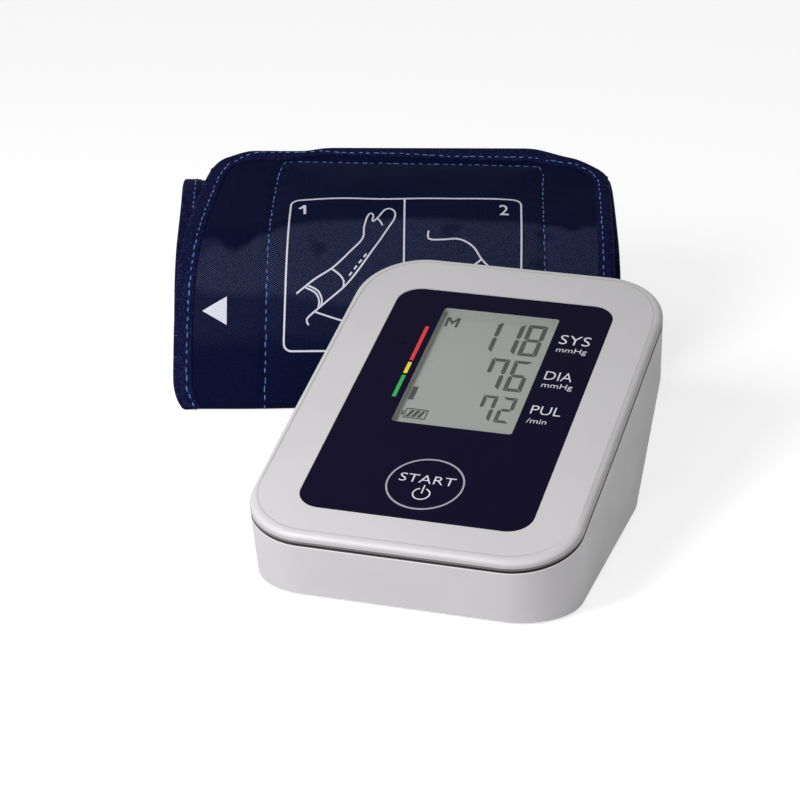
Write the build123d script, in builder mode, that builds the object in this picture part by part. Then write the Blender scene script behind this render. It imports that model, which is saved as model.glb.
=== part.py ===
"""Upper-arm blood pressure monitor: a one-button desk unit with its rolled arm cuff beside it."""
from build123d import *
import math
import os

os.makedirs("parts", exist_ok=True)

# ---------------------------------------------------------------- driving dimensions (mm)
# Desk unit
WIDTH = 107.0                   # across the case
DEPTH = 147.0                   # front to back
FRONT_HEIGHT = 23.2             # height of the face plane at the front edge
FACE_TILT = 15.8                # slope of the face, degrees
CORNER_RADIUS = 22.5            # corners of the case seen from above
FLOOR_CORNER_RADIUS = 20.0      # the same corners at the floor
FRONT_INSET = 4.5               # how far the front wall leans in at the floor
SIDE_INSET = 1.0                # how far each side wall leans in at the floor
KNEE_HEIGHT = 36.0              # height of the fold in the rear wall
HEEL_LENGTH = 29.0              # how far the lower rear wall runs in under the case
WALL = 2.2                      # case wall
FLOOR = 2.2                     # case floor
COVER_SIDE = 3.0                # visible side of the top cover
GROOVE = 0.9                    # shadow gap between cover and housing
RIM_RADIUS = 2.3                # rounding of the cover's edge
SKIRT_DEPTH = 4.0               # cover skirt inside the housing wall
SKIRT_WALL = 1.4
FIT_GAP = 0.2                   # clearance between moulded parts

# Face panel
PANEL_SIDE = 15.9               # case beside the panel
PANEL_FRONT = 13.4              # face in front of the panel, along the slope
PANEL_REAR = 19.4               # face behind the panel, along the slope
PANEL_CORNER = 8.0
PANEL_THICKNESS = 1.5
PANEL_SINK = 0.3                # panel surface below the face plane
PANEL_LEDGE = 3.0               # cover ledge that carries the panel
PANEL_SEAT = 1.6                # thickness of that ledge
WINDOW_WIDTH = 40.0
WINDOW_LENGTH = 63.7
WINDOW_CORNER = 1.2
WINDOW_MARGIN = 9.5             # panel behind the display
LENS_THICKNESS = 1.3

# Start button
BUTTON_DIAMETER = 25.0
BUTTON_MARGIN = 5.1             # panel in front of the button
BUTTON_GAP = 0.25               # ring gap round the button
BUTTON_THICKNESS = 1.7
BUTTON_FLANGE = 1.2             # flange that keeps the button in
BUTTON_FLANGE_HEIGHT = 0.9
BUTTON_TRAVEL = 0.5
BUTTON_STEM = 3.6               # stem diameter

# Display module and board
GLASS_THICKNESS = 2.8
GLASS_MARGIN = 3.0              # glass beyond the window on each side
GLASS_DROP = 0.5                # gap between cover ledge and glass
FRAME_WALL = 1.4                # display frame round the glass
REFLECTOR_THICKNESS = 1.0
ZEBRA_WIDTH = 2.0
BOARD_DROP = 10.4               # board top below the face plane
BOARD_THICKNESS = 1.6
BOARD_SIDE = 15.5               # case beside the board
BOARD_SHORT = 12.0              # how much shorter the board is than the panel
BOARD_LAG = 2.0                 # board centre in front of the panel centre
BOARD_POST = 5.6                # diameter of the cover posts that carry the board
BOARD_POST_SIDE = 4.0           # posts in from the board's sides
BOARD_POST_MARGIN = 5.0         # posts in from the board's ends
BOARD_SCREW = 2.2
PLUNGER_TRAVEL = 0.4
PLUNGER_GAP = 0.15              # rest gap between button stem and plunger

# Batteries
CELL_DIAMETER = 14.5
CELL_LENGTH = 50.5
CELL_COUNT = 4
CELL_PITCH = 15.2
CONTACT_SPRING = 4.6            # squeezed length of a contact spring
CONTACT_PLATE = 0.5
BAY_CLEARANCE = 1.5
BAY_WALL = 1.6
BAY_TO_PUMP = 17.6              # rear inner face of the battery bay to the pump axis
DOOR_THICKNESS = 1.8
DOOR_LAP = 1.0                  # overlap of the door on the bay wall
HOOK_WIDTH = 6.0
HOOK_SPREAD = CELL_PITCH        # hooks stand between two cells
HOOK_THICKNESS = 1.1
HOOK_REACH = 2.6
LATCH_WIDTH = 13.0
LATCH_DEPTH = 4.0               # latch pocket in front of the bay
LATCH_HEIGHT = 10.0
LATCH_THICKNESS = 1.3

# Feet, pillars and screws
FOOT_DIAMETER = 9.0
FOOT_HEIGHT = 0.8               # foot below the case floor
FOOT_RECESS = 0.7
FOOT_SIDE = 16.5                # feet in from the sides, the front and the rear of the case
FOOT_FRONT = 12.5
FOOT_REAR = 38.5
PILLAR_DIAMETER = 7.6
PILLAR_SIDE = 7.9               # pillars in from the sides, the front and the rear of the case
PILLAR_FRONT = 27.5
PILLAR_REAR = 49.5
PILLAR_TOP = 12.0               # height at which pillar and cover boss meet
SCREW_DIAMETER = 2.9
SCREW_HEAD = 5.2
SCREW_HEAD_HEIGHT = 2.0
SCREW_LENGTH = 12.0
WELL_DIAMETER = 5.8
HOLE_GAP = 0.05                 # screw in its hole, radial

# Air pump
PUMP_TO_VALVE = 40.0            # joint between motor and pump head, to the valve axis
PUMP_REAR = 36.0                # pump axis in front of the rear of the case
PUMP_Z = 19.5
MOTOR_DIAMETER = 24.2
MOTOR_LENGTH = 30.0
MOTOR_BOSS = 8.0
SHAFT_DIAMETER = 2.0
SHAFT_GAP = 0.05
HEAD_DIAMETER = 27.0
CRANKCASE_LENGTH = 13.0
DIAPHRAGM_THICKNESS = 1.6
CAP_LENGTH = 8.5
NOZZLE_DIAMETER = 4.0
NOZZLE_LENGTH = 5.0
ECCENTRIC_DIAMETER = 9.0
ECCENTRIC_OFFSET = 1.2
ECCENTRIC_LENGTH = 6.0
CUSHION_WALL = 1.3
CUSHION_LENGTH = 24.0
SADDLE_THICKNESS = 2.4
SADDLE_SPREAD = 8.0

# Exhaust valve
VALVE_SIDE = 12.5               # valve axis in from the side and the rear of the case
VALVE_REAR = 30.0
VALVE_HEADROOM = 2.8            # free height between valve and board
COIL_DIAMETER = 14.0
COIL_LENGTH = 19.0
VALVE_FRAME = 1.2
PLUNGER_DIAMETER = 5.0
PLUNGER_LENGTH = 15.0
CAP_PLATE = 1.6
ELBOW_HEIGHT = 3.2
PLUNGER_CLEARANCE = 0.08

# Air circuit
TUBE_WALL = 0.8
BARB_DIAMETER = 3.0
NOZZLE_GAP = 1.0                # pump nozzle to manifold barb
MANIFOLD_LENGTH = 18.0
RISER_SPREAD = 5.6              # risers in front of and behind the pump port
MANIFOLD_DIAMETER = 6.4
BARB_LENGTH = 5.0
SOCKET_Y = -2.0
SOCKET_Z = 25.0
SOCKET_BORE = 8.0
SOCKET_DEPTH = 9.0
SOCKET_WALL = 1.8
SOCKET_FLANGE = 14.0
SOCKET_FLANGE_THICKNESS = 1.0

# Power inlet
JACK_SIDE = 25.5                # jack axis in from the side of the case
JACK_DROP = 17.8                # jack axis below the top of the case
JACK_BORE = 5.6
JACK_DEPTH = 9.5
JACK_PIN = 2.0
JACK_BODY = 9.4
JACK_LENGTH = 13.0

# Arm cuff, rolled and lying on its side behind the unit
CUFF_ANGLE = 17.3               # turn of the roll about the vertical, degrees
CUFF_WIDTH = 158.0
CUFF_THICKNESS = 4.5            # one turn of the cuff
CUFF_PITCH = 6.4                # from one turn to the next
CUFF_DEPTH = 104.0              # front to back of the roll
CUFF_LEAN = 27.2                # lean of the front face from the vertical
CUFF_TOE_REACH = 4.0            # how far the toe reaches out under the front
CUFF_SHOULDER = 52.0            # height of the shoulder corner
CUFF_TOP_SLOPE = 17.5           # rise of the top towards the back
CUFF_REAR_LEAN = 5.0
CUFF_TAIL = 62.0                # outer end, back from the shoulder corner
CUFF_INNER_END = 28.0           # inner end, up from the floor of the roll
CLOTH = 1.0
BINDING_WIDTH = 4.0
BLADDER_THICKNESS = 1.9
BLADDER_WIDTH = 125.0
BLADDER_START = 0.3             # share of the straight tail that has no bladder
HOOK_PAD = 0.7                  # hook and loop pads
PAD_WIDTH = 118.0
SHOULDER_RADIUS = 40.0          # bends of the roll, at mid thickness
HEEL_RADIUS = 17.0
TOE_RADIUS = 3.5
CREST_RADIUS = 22.0
FITTING_FLANGE = 22.0
FITTING_THICKNESS = 1.2
FITTING_NECK = 6.4
FITTING_LENGTH = 11.0
FITTING_BORE = 3.0
FITTING_HEIGHT = 30.0
FITTING_ACROSS = 45.0           # towards the right edge of the cuff

# Set-out of the two objects about the common origin
UNIT_X = 51.8
UNIT_Y = -69.1
CUFF_X = 0.5                    # middle of the roll's front edge
CUFF_Y = 21.4

# ---------------------------------------------------------------- derived places
FACE_SINE = math.sin(math.radians(FACE_TILT))
FACE_COSINE = math.cos(math.radians(FACE_TILT))
FACE_MIDDLE = FRONT_HEIGHT + DEPTH / 2 * FACE_SINE / FACE_COSINE
CASE_TOP = FRONT_HEIGHT + DEPTH * FACE_SINE / FACE_COSINE
SPLIT_DROP = COVER_SIDE + GROOVE
PANEL_WIDTH = WIDTH - 2 * PANEL_SIDE
PANEL_LENGTH = DEPTH / FACE_COSINE - PANEL_FRONT - PANEL_REAR
PANEL_SHIFT = (PANEL_FRONT - PANEL_REAR) / 2
WINDOW_SHIFT = PANEL_SHIFT + PANEL_LENGTH / 2 - WINDOW_MARGIN - WINDOW_LENGTH / 2
BUTTON_SHIFT = PANEL_SHIFT - PANEL_LENGTH / 2 + BUTTON_MARGIN + BUTTON_DIAMETER / 2
SPLIT_FRONT = FRONT_HEIGHT - SPLIT_DROP / FACE_COSINE
FRONT_SLOPE = FRONT_INSET / (SPLIT_FRONT - FOOT_HEIGHT)
SOLE_FRONT = -DEPTH / 2 + FRONT_INSET
SOLE_REAR = DEPTH / 2 - HEEL_LENGTH
KNEE_FRONT = SOLE_FRONT - FRONT_SLOPE * (KNEE_HEIGHT - FOOT_HEIGHT)
INSIDE_FLOOR = FOOT_HEIGHT + FLOOR

PANEL_BACK = PANEL_SINK + PANEL_THICKNESS
SEAT_BACK = PANEL_BACK + PANEL_SEAT
GLASS_FRONT = SEAT_BACK + GLASS_DROP
GLASS_BACK = GLASS_FRONT + GLASS_THICKNESS
GLASS_WIDTH = WINDOW_WIDTH + 2 * GLASS_MARGIN
GLASS_LENGTH = WINDOW_LENGTH + 2 * GLASS_MARGIN
BOARD_BACK = BOARD_DROP + BOARD_THICKNESS
BOARD_WIDTH = WIDTH - 2 * BOARD_SIDE
BOARD_LENGTH = PANEL_LENGTH - BOARD_SHORT
BOARD_SHIFT = PANEL_SHIFT - BOARD_LAG
BOARD_POST_SPREAD = BOARD_WIDTH / 2 - BOARD_POST_SIDE
BOARD_POST_FRONT = BOARD_SHIFT - BOARD_LENGTH / 2 + BOARD_POST_MARGIN
BOARD_POST_REAR = BOARD_SHIFT + BOARD_LENGTH / 2 - BOARD_POST_MARGIN
BOARD_POSTS = [
    (side * BOARD_POST_SPREAD, shift) for side in (-1, 1) for shift in (BOARD_POST_FRONT, BOARD_POST_REAR)
]

PUMP_Y = DEPTH / 2 - PUMP_REAR
DOOR_TOP = FOOT_HEIGHT + DOOR_THICKNESS
DOOR_SEAT = DOOR_TOP + FIT_GAP
CELL_HEIGHT = DOOR_TOP + 2 * FIT_GAP + CELL_DIAMETER / 2
BAY_WIDTH = (CELL_COUNT - 1) * CELL_PITCH + CELL_DIAMETER + BAY_CLEARANCE
BAY_LENGTH = CELL_LENGTH + CONTACT_SPRING + 2 * CONTACT_PLATE + 4 * FIT_GAP
BAY_REAR = PUMP_Y - BAY_TO_PUMP
BAY_FRONT = BAY_REAR - BAY_LENGTH
BAY_MIDDLE = (BAY_FRONT + BAY_REAR) / 2
BAY_TOP = CELL_HEIGHT + CELL_DIAMETER / 2 + 2 * FIT_GAP
RECESS_WIDTH = BAY_WIDTH + 2 * DOOR_LAP
RECESS_LENGTH = BAY_LENGTH + 2 * DOOR_LAP
RECESS_REAR = BAY_REAR + DOOR_LAP
CELL_ROWS = [(place - (CELL_COUNT - 1) / 2) * CELL_PITCH for place in range(CELL_COUNT)]

PILLAR_X = WIDTH / 2 - PILLAR_SIDE
PILLAR_ROWS = (PILLAR_FRONT - DEPTH / 2, DEPTH / 2 - PILLAR_REAR)
PILLARS = [(side * PILLAR_X, place) for side in (-1, 1) for place in PILLAR_ROWS]
FOOT_X = WIDTH / 2 - FOOT_SIDE
FOOT_ROWS = (FOOT_FRONT - DEPTH / 2, DEPTH / 2 - FOOT_REAR)
FEET = [(side * FOOT_X, place) for side in (-1, 1) for place in FOOT_ROWS]
SCREW_SEAT = PILLAR_TOP - SCREW_HEAD_HEIGHT - 2 * FIT_GAP
SCREW_HOLE = SCREW_DIAMETER + 2 * HOLE_GAP

CUSHION_BORE = MOTOR_DIAMETER + 2 * HOLE_GAP
CUSHION_DIAMETER = CUSHION_BORE + 2 * CUSHION_WALL
DIAPHRAGM_BACK = CRANKCASE_LENGTH + DIAPHRAGM_THICKNESS
CAP_BACK = DIAPHRAGM_BACK + CAP_LENGTH
COIL_BORE = PLUNGER_DIAMETER + 2 * PLUNGER_CLEARANCE
VALVE_X = WIDTH / 2 - VALVE_SIDE
VALVE_Y = DEPTH / 2 - VALVE_REAR
PUMP_X = VALVE_X - PUMP_TO_VALVE
MANIFOLD_X = PUMP_X - CAP_BACK - NOZZLE_LENGTH - NOZZLE_GAP - BARB_LENGTH - MANIFOLD_DIAMETER / 2
board_over_valve = FACE_MIDDLE + (VALVE_Y * FACE_SINE - BOARD_BACK) / FACE_COSINE
VALVE_TOP = board_over_valve - VALVE_HEADROOM - CAP_PLATE - 2 * ELBOW_HEIGHT
VALVE_SEAT = VALVE_TOP - COIL_LENGTH
JACK_X = WIDTH / 2 - JACK_SIDE
JACK_Z = CASE_TOP - JACK_DROP

# ---------------------------------------------------------------- working planes
desk = Plane((UNIT_X, UNIT_Y, 0))
face = Plane(
    origin=(UNIT_X, UNIT_Y, FACE_MIDDLE),
    x_dir=(1, 0, 0),
    z_dir=(0, -FACE_SINE, FACE_COSINE),
)
pump = Plane(origin=(UNIT_X + PUMP_X, UNIT_Y + PUMP_Y, PUMP_Z), x_dir=(0, 1, 0), z_dir=(1, 0, 0))
valve = Plane((UNIT_X + VALVE_X, UNIT_Y + VALVE_Y, VALVE_SEAT))
socket_mouth = WIDTH / 2 - SIDE_INSET * (KNEE_HEIGHT - SOCKET_Z) / (KNEE_HEIGHT - FOOT_HEIGHT)
socket = Plane(
    origin=(UNIT_X - socket_mouth, UNIT_Y + SOCKET_Y, SOCKET_Z),
    x_dir=(0, -1, 0),
    z_dir=(1, 0, 0),
)
inlet = Plane(
    origin=(UNIT_X + JACK_X, UNIT_Y + DEPTH / 2, JACK_Z),
    x_dir=(1, 0, 0),
    z_dir=(0, -1, 0),
)


def down(plane, depth):
    """The same plane moved against its own normal."""
    return plane.offset(-depth)


def case_outline(plane, front, rear, width, radius, inset):
    """Rounded rectangle of the case seen from above, drawn in by a wall thickness."""
    with BuildSketch(plane) as outline:
        with Locations((0, (front + rear) / 2)):
            RectangleRounded(width - 2 * inset, rear - front - 2 * inset, radius - inset)
    return outline.sketch


def case_form(inset):
    """Solid form of the case: drafted up to the knee, upright above it."""
    sole = case_outline(
        desk.offset(FOOT_HEIGHT), SOLE_FRONT, SOLE_REAR, WIDTH - 2 * SIDE_INSET, FLOOR_CORNER_RADIUS, inset
    )
    knee = case_outline(desk.offset(KNEE_HEIGHT), KNEE_FRONT, DEPTH / 2, WIDTH, CORNER_RADIUS, inset)
    with BuildPart() as form:
        loft(sections=[sole.face(), knee.face()], ruled=True)
        extrude(knee.face(), amount=CASE_TOP - KNEE_HEIGHT, dir=(0, 0, 1))
    return form.part


def tube_radii(points):
    """Bend radii for a run of soft tube: as large as the two straights beside each corner allow."""
    corners = [Vector(*point) for point in points]
    radii = []
    for before, corner, after in zip(corners, corners[1:], corners[2:]):
        arriving, leaving = corner - before, after - corner
        turn = math.radians(arriving.get_angle(leaving))
        radii.append(0.45 * min(arriving.length, leaving.length) / math.tan(turn / 2))
    return radii


def tube_line(points):
    """Centre line of a tube or lead, placed on the desk unit."""
    placed = [(UNIT_X + x, UNIT_Y + y, z) for x, y, z in points]
    with BuildLine() as line:
        if len(placed) > 2:
            FilletPolyline(*placed, radius=tube_radii(placed))
        else:
            Line(*placed)
    return line.line


outer_form = case_form(0)
cavity_form = split(case_form(WALL), bisect_by=desk.offset(INSIDE_FLOOR), keep=Keep.TOP)
skirt_form = case_form(WALL + FIT_GAP)
skirt_hollow = case_form(WALL + FIT_GAP + SKIRT_WALL)
housing_block = split(outer_form, bisect_by=down(face, SPLIT_DROP), keep=Keep.BOTTOM)

# ---------------------------------------------------------------- bottom housing
SADDLE_WIDTH = 22.0
CUP_WALL = 1.6
CUP_DEPTH = 3.0
cup_diameter = COIL_DIAMETER + 2 * FIT_GAP

with BuildPart() as bottom_housing:
    add(housing_block)
    add(cavity_form, mode=Mode.SUBTRACT)
    # battery bay with its roof, and the latch pocket in front of it
    with BuildSketch(desk.offset(FOOT_HEIGHT)) as bay_plan:
        with Locations((0, BAY_MIDDLE)):
            Rectangle(BAY_WIDTH + 2 * BAY_WALL, BAY_LENGTH + 2 * BAY_WALL)
    extrude(amount=BAY_TOP + BAY_WALL - FOOT_HEIGHT)
    with BuildSketch(desk.offset(FOOT_HEIGHT)) as pocket_plan:
        with Locations((0, BAY_FRONT - LATCH_DEPTH / 2)):
            Rectangle(LATCH_WIDTH + 2 * BAY_WALL, LATCH_DEPTH + 2 * BAY_WALL)
    extrude(amount=LATCH_HEIGHT + 2 * BAY_WALL)
    # screw pillars, pump saddles and the valve's cup
    with BuildSketch(desk.offset(FOOT_HEIGHT)) as pillar_plan:
        with Locations(*PILLARS):
            Circle(PILLAR_DIAMETER / 2)
    extrude(amount=PILLAR_TOP - FOOT_HEIGHT)
    for place in (-SADDLE_SPREAD, SADDLE_SPREAD):
        with BuildSketch(pump.offset(MOTOR_LENGTH / 2 + place)) as saddle:
            with Locations((0, (INSIDE_FLOOR - PUMP_Z) / 2 - FIT_GAP)):
                Rectangle(SADDLE_WIDTH, PUMP_Z - INSIDE_FLOOR)
            Circle(CUSHION_DIAMETER / 2 + HOLE_GAP, mode=Mode.SUBTRACT)
        extrude(amount=SADDLE_THICKNESS / 2, both=True)
    with BuildSketch(desk.offset(FOOT_HEIGHT)) as cup_plan:
        with Locations((VALVE_X, VALVE_Y)):
            Circle(cup_diameter / 2 + CUP_WALL)
    extrude(amount=VALVE_SEAT + CUP_DEPTH - FOOT_HEIGHT)
    add(housing_block, mode=Mode.INTERSECT)
    with BuildSketch(valve) as cup_hollow:
        Circle(cup_diameter / 2)
    extrude(amount=CUP_DEPTH, mode=Mode.SUBTRACT)
    # inside of the bay, door recess and hook slots
    with BuildSketch(desk) as bay_inside:
        with Locations((0, BAY_MIDDLE)):
            Rectangle(BAY_WIDTH, BAY_LENGTH)
    extrude(amount=BAY_TOP, mode=Mode.SUBTRACT)
    with BuildSketch(desk) as pocket_inside:
        with Locations((0, BAY_FRONT - LATCH_DEPTH / 2 + BAY_WALL / 2)):
            Rectangle(LATCH_WIDTH, LATCH_DEPTH + BAY_WALL)
    extrude(amount=LATCH_HEIGHT + BAY_WALL, mode=Mode.SUBTRACT)
    with BuildSketch(desk) as door_recess:
        with Locations((0, BAY_MIDDLE)):
            Rectangle(RECESS_WIDTH, RECESS_LENGTH)
    extrude(amount=DOOR_SEAT, mode=Mode.SUBTRACT)
    with BuildSketch(desk.offset(DOOR_SEAT)) as hook_slots:
        with Locations((-HOOK_SPREAD, BAY_REAR + BAY_WALL / 2), (HOOK_SPREAD, BAY_REAR + BAY_WALL / 2)):
            Rectangle(HOOK_WIDTH + 4 * FIT_GAP, BAY_WALL + 2 * FIT_GAP)
    extrude(amount=HOOK_THICKNESS + HOOK_REACH, mode=Mode.SUBTRACT)
    # screw wells and foot recesses from below
    with BuildSketch(desk) as wells:
        with Locations(*PILLARS):
            Circle(WELL_DIAMETER / 2)
    extrude(amount=SCREW_SEAT, mode=Mode.SUBTRACT)
    with BuildSketch(desk) as screw_holes:
        with Locations(*PILLARS):
            Circle(SCREW_HOLE / 2)
    extrude(amount=PILLAR_TOP, mode=Mode.SUBTRACT)
    with BuildSketch(desk) as foot_recesses:
        with Locations(*FEET):
            Circle(FOOT_DIAMETER / 2 + HOLE_GAP)
    extrude(amount=FOOT_HEIGHT + FOOT_RECESS, mode=Mode.SUBTRACT)
    # holes for the air socket and the power inlet
    with BuildSketch(socket.offset(-WALL)) as socket_hole:
        Circle(SOCKET_BORE / 2 + SOCKET_WALL + HOLE_GAP)
    extrude(amount=3 * WALL, mode=Mode.SUBTRACT)
    with BuildSketch(inlet.offset(-WALL)) as inlet_hole:
        Circle(JACK_BODY / 2 + HOLE_GAP)
    extrude(amount=3 * WALL, mode=Mode.SUBTRACT)
bottom_housing.part.label = "bottom_housing"
export_step(bottom_housing.part, "parts/bottom_housing.step")

# ---------------------------------------------------------------- top cover
cover_block = split(
    split(outer_form, bisect_by=down(face, COVER_SIDE), keep=Keep.TOP), bisect_by=face, keep=Keep.BOTTOM
)
cover_hollow = split(case_form(WALL), bisect_by=down(face, WALL), keep=Keep.BOTTOM)
BOSS_ROOT = 0.4                 # how far skirt, posts and bosses run up into the cover plate
skirt_block = split(
    split(skirt_form, bisect_by=down(face, SPLIT_DROP + SKIRT_DEPTH), keep=Keep.TOP),
    bisect_by=down(face, WALL - BOSS_ROOT),
    keep=Keep.BOTTOM,
)
skirt_core = split(skirt_hollow, bisect_by=down(face, WALL), keep=Keep.BOTTOM)
boss_block = split(cavity_form, bisect_by=down(face, WALL - BOSS_ROOT), keep=Keep.BOTTOM)

with BuildPart() as screw_bosses:
    with BuildSketch(desk.offset(PILLAR_TOP)) as boss_plan:
        with Locations(*PILLARS):
            Circle(PILLAR_DIAMETER / 2)
            Circle(SCREW_HOLE / 2, mode=Mode.SUBTRACT)
    extrude(amount=CASE_TOP)
    add(boss_block, mode=Mode.INTERSECT)

with BuildPart() as top_cover:
    add(cover_block)
    fillet(top_cover.faces().sort_by(Axis(face.origin, face.z_dir))[-1].edges(), RIM_RADIUS)
    add(cover_hollow, mode=Mode.SUBTRACT)
    add(skirt_block)
    add(skirt_core, mode=Mode.SUBTRACT)
    # thick seat under the panel
    with BuildSketch(down(face, SEAT_BACK)) as seat_plan:
        with Locations((0, PANEL_SHIFT)):
            RectangleRounded(
                PANEL_WIDTH + 2 * PANEL_LEDGE, PANEL_LENGTH + 2 * PANEL_LEDGE, PANEL_CORNER + PANEL_LEDGE
            )
    extrude(amount=SEAT_BACK - WALL + BOSS_ROOT)
    add(screw_bosses.part)
    with BuildSketch(down(face, BOARD_DROP)) as board_posts:
        with Locations(*BOARD_POSTS):
            Circle(BOARD_POST / 2)
    extrude(amount=BOARD_DROP - SEAT_BACK + BOSS_ROOT)
    # panel recess, display window and button hole
    with BuildSketch(down(face, PANEL_BACK)) as panel_recess:
        with Locations((0, PANEL_SHIFT)):
            RectangleRounded(
                PANEL_WIDTH + 2 * HOLE_GAP, PANEL_LENGTH + 2 * HOLE_GAP, PANEL_CORNER + HOLE_GAP
            )
    extrude(amount=2 * PANEL_BACK, mode=Mode.SUBTRACT)
    with BuildSketch(down(face, SEAT_BACK)) as seat_openings:
        with Locations((0, WINDOW_SHIFT)):
            RectangleRounded(WINDOW_WIDTH + GLASS_MARGIN, WINDOW_LENGTH + GLASS_MARGIN, WINDOW_CORNER)
        with Locations((0, BUTTON_SHIFT)):
            Circle(BUTTON_DIAMETER / 2 + BUTTON_FLANGE + 2 * BUTTON_GAP)
    extrude(amount=SEAT_BACK, mode=Mode.SUBTRACT)
    with BuildSketch(down(face, BOARD_DROP)) as post_holes:
        with Locations(*BOARD_POSTS):
            Circle(BOARD_SCREW / 2 + HOLE_GAP)
    extrude(amount=BOARD_DROP - SEAT_BACK, mode=Mode.SUBTRACT)
top_cover.part.label = "top_cover"
export_step(top_cover.part, "parts/top_cover.step")

# ---------------------------------------------------------------- face panel, lens and start button
with BuildPart() as front_panel:
    with BuildSketch(down(face, PANEL_BACK)) as panel_plan:
        with Locations((0, PANEL_SHIFT)):
            RectangleRounded(PANEL_WIDTH, PANEL_LENGTH, PANEL_CORNER)
        with Locations((0, WINDOW_SHIFT)):
            RectangleRounded(WINDOW_WIDTH, WINDOW_LENGTH, WINDOW_CORNER, mode=Mode.SUBTRACT)
        with Locations((0, BUTTON_SHIFT)):
            Circle(BUTTON_DIAMETER / 2 + BUTTON_GAP, mode=Mode.SUBTRACT)
    extrude(amount=PANEL_THICKNESS)
front_panel.part.label = "front_panel"
export_step(front_panel.part, "parts/front_panel.step")

with BuildPart() as display_lens:
    with BuildSketch(down(face, PANEL_SINK + LENS_THICKNESS)) as lens_plan:
        with Locations((0, WINDOW_SHIFT)):
            RectangleRounded(WINDOW_WIDTH - 2 * HOLE_GAP, WINDOW_LENGTH - 2 * HOLE_GAP, WINDOW_CORNER)
    extrude(amount=LENS_THICKNESS)
display_lens.part.label = "display_lens"
export_step(display_lens.part, "parts/display_lens.step")

FLANGE_FRONT = PANEL_BACK + HOLE_GAP
PLUNGER_FRONT = BOARD_DROP - 4.6
SWITCH_HEIGHT = 3.5
SWITCH_WIDTH = 6.0
PLUNGER_WIDTH = 3.4
PLUNGER_ROOT = 1.2              # plunger held inside the switch
STEM_BACK = PLUNGER_FRONT - PLUNGER_GAP
FLANGE_BACK = FLANGE_FRONT + BUTTON_FLANGE_HEIGHT
button_spot = (0, BUTTON_SHIFT)

with BuildPart() as start_button:
    with BuildSketch(down(face, FLANGE_FRONT)) as button_cap:
        with Locations(button_spot):
            Circle(BUTTON_DIAMETER / 2)
    extrude(amount=FLANGE_FRONT - PANEL_SINK)
    fillet(start_button.edges().group_by(Axis(face.origin, face.z_dir))[-1], BUTTON_GAP)
    with BuildSketch(down(face, FLANGE_BACK)) as button_flange:
        with Locations(button_spot):
            Circle(BUTTON_DIAMETER / 2 + BUTTON_FLANGE)
    extrude(amount=BUTTON_FLANGE_HEIGHT)
    with BuildSketch(down(face, STEM_BACK)) as button_stem:
        with Locations(button_spot):
            Circle(BUTTON_STEM / 2)
    extrude(amount=STEM_BACK - FLANGE_BACK)
start_button.part.label = "start_button"
export_step(start_button.part, "parts/start_button.step")

with BuildPart() as start_switch:
    with BuildSketch(down(face, BOARD_DROP)) as switch_plan:
        with Locations(button_spot):
            RectangleRounded(SWITCH_WIDTH, SWITCH_WIDTH, BUTTON_GAP)
    extrude(amount=SWITCH_HEIGHT)
    switch_room = BOARD_DROP - SWITCH_HEIGHT + PLUNGER_ROOT + 2 * PLUNGER_TRAVEL
    with BuildSketch(down(face, switch_room)) as switch_bore:
        with Locations(button_spot):
            Circle(PLUNGER_WIDTH / 2 + HOLE_GAP)
    extrude(amount=SWITCH_HEIGHT, mode=Mode.SUBTRACT)
start_switch.part.label = "start_switch"
export_step(start_switch.part, "parts/start_switch.step")

with BuildPart() as switch_plunger:
    with BuildSketch(down(face, BOARD_DROP - SWITCH_HEIGHT + PLUNGER_ROOT)) as plunger_plan:
        with Locations(button_spot):
            Circle(PLUNGER_WIDTH / 2)
    extrude(amount=BOARD_DROP - SWITCH_HEIGHT + PLUNGER_ROOT - PLUNGER_FRONT)
switch_plunger.part.label = "switch_plunger"
export_step(switch_plunger.part, "parts/switch_plunger.step")

# ---------------------------------------------------------------- display module
ZEBRA_INSET = 2.0               # centre of each zebra strip in from the glass edge
zebra_spots = [
    (0, WINDOW_SHIFT + side * (GLASS_LENGTH / 2 - ZEBRA_INSET)) for side in (-1, 1)
]
REFLECTOR_LENGTH = GLASS_LENGTH - 4 * ZEBRA_INSET - 2 * FRAME_WALL

with BuildPart() as display_glass:
    with BuildSketch(down(face, GLASS_BACK)) as glass_plan:
        with Locations((0, WINDOW_SHIFT)):
            Rectangle(GLASS_WIDTH, GLASS_LENGTH)
    extrude(amount=GLASS_THICKNESS)
    # the front sheet of the sandwich is shorter than the rear one, which leaves a contact step
    with BuildSketch(down(face, GLASS_FRONT + GLASS_THICKNESS / 2)) as contact_step:
        with Locations((0, WINDOW_SHIFT - GLASS_LENGTH / 2 + ZEBRA_INSET / 4)):
            Rectangle(GLASS_WIDTH, ZEBRA_INSET / 2)
    extrude(amount=GLASS_THICKNESS, mode=Mode.SUBTRACT)
display_glass.part.label = "display_glass"
export_step(display_glass.part, "parts/display_glass.step")

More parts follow.
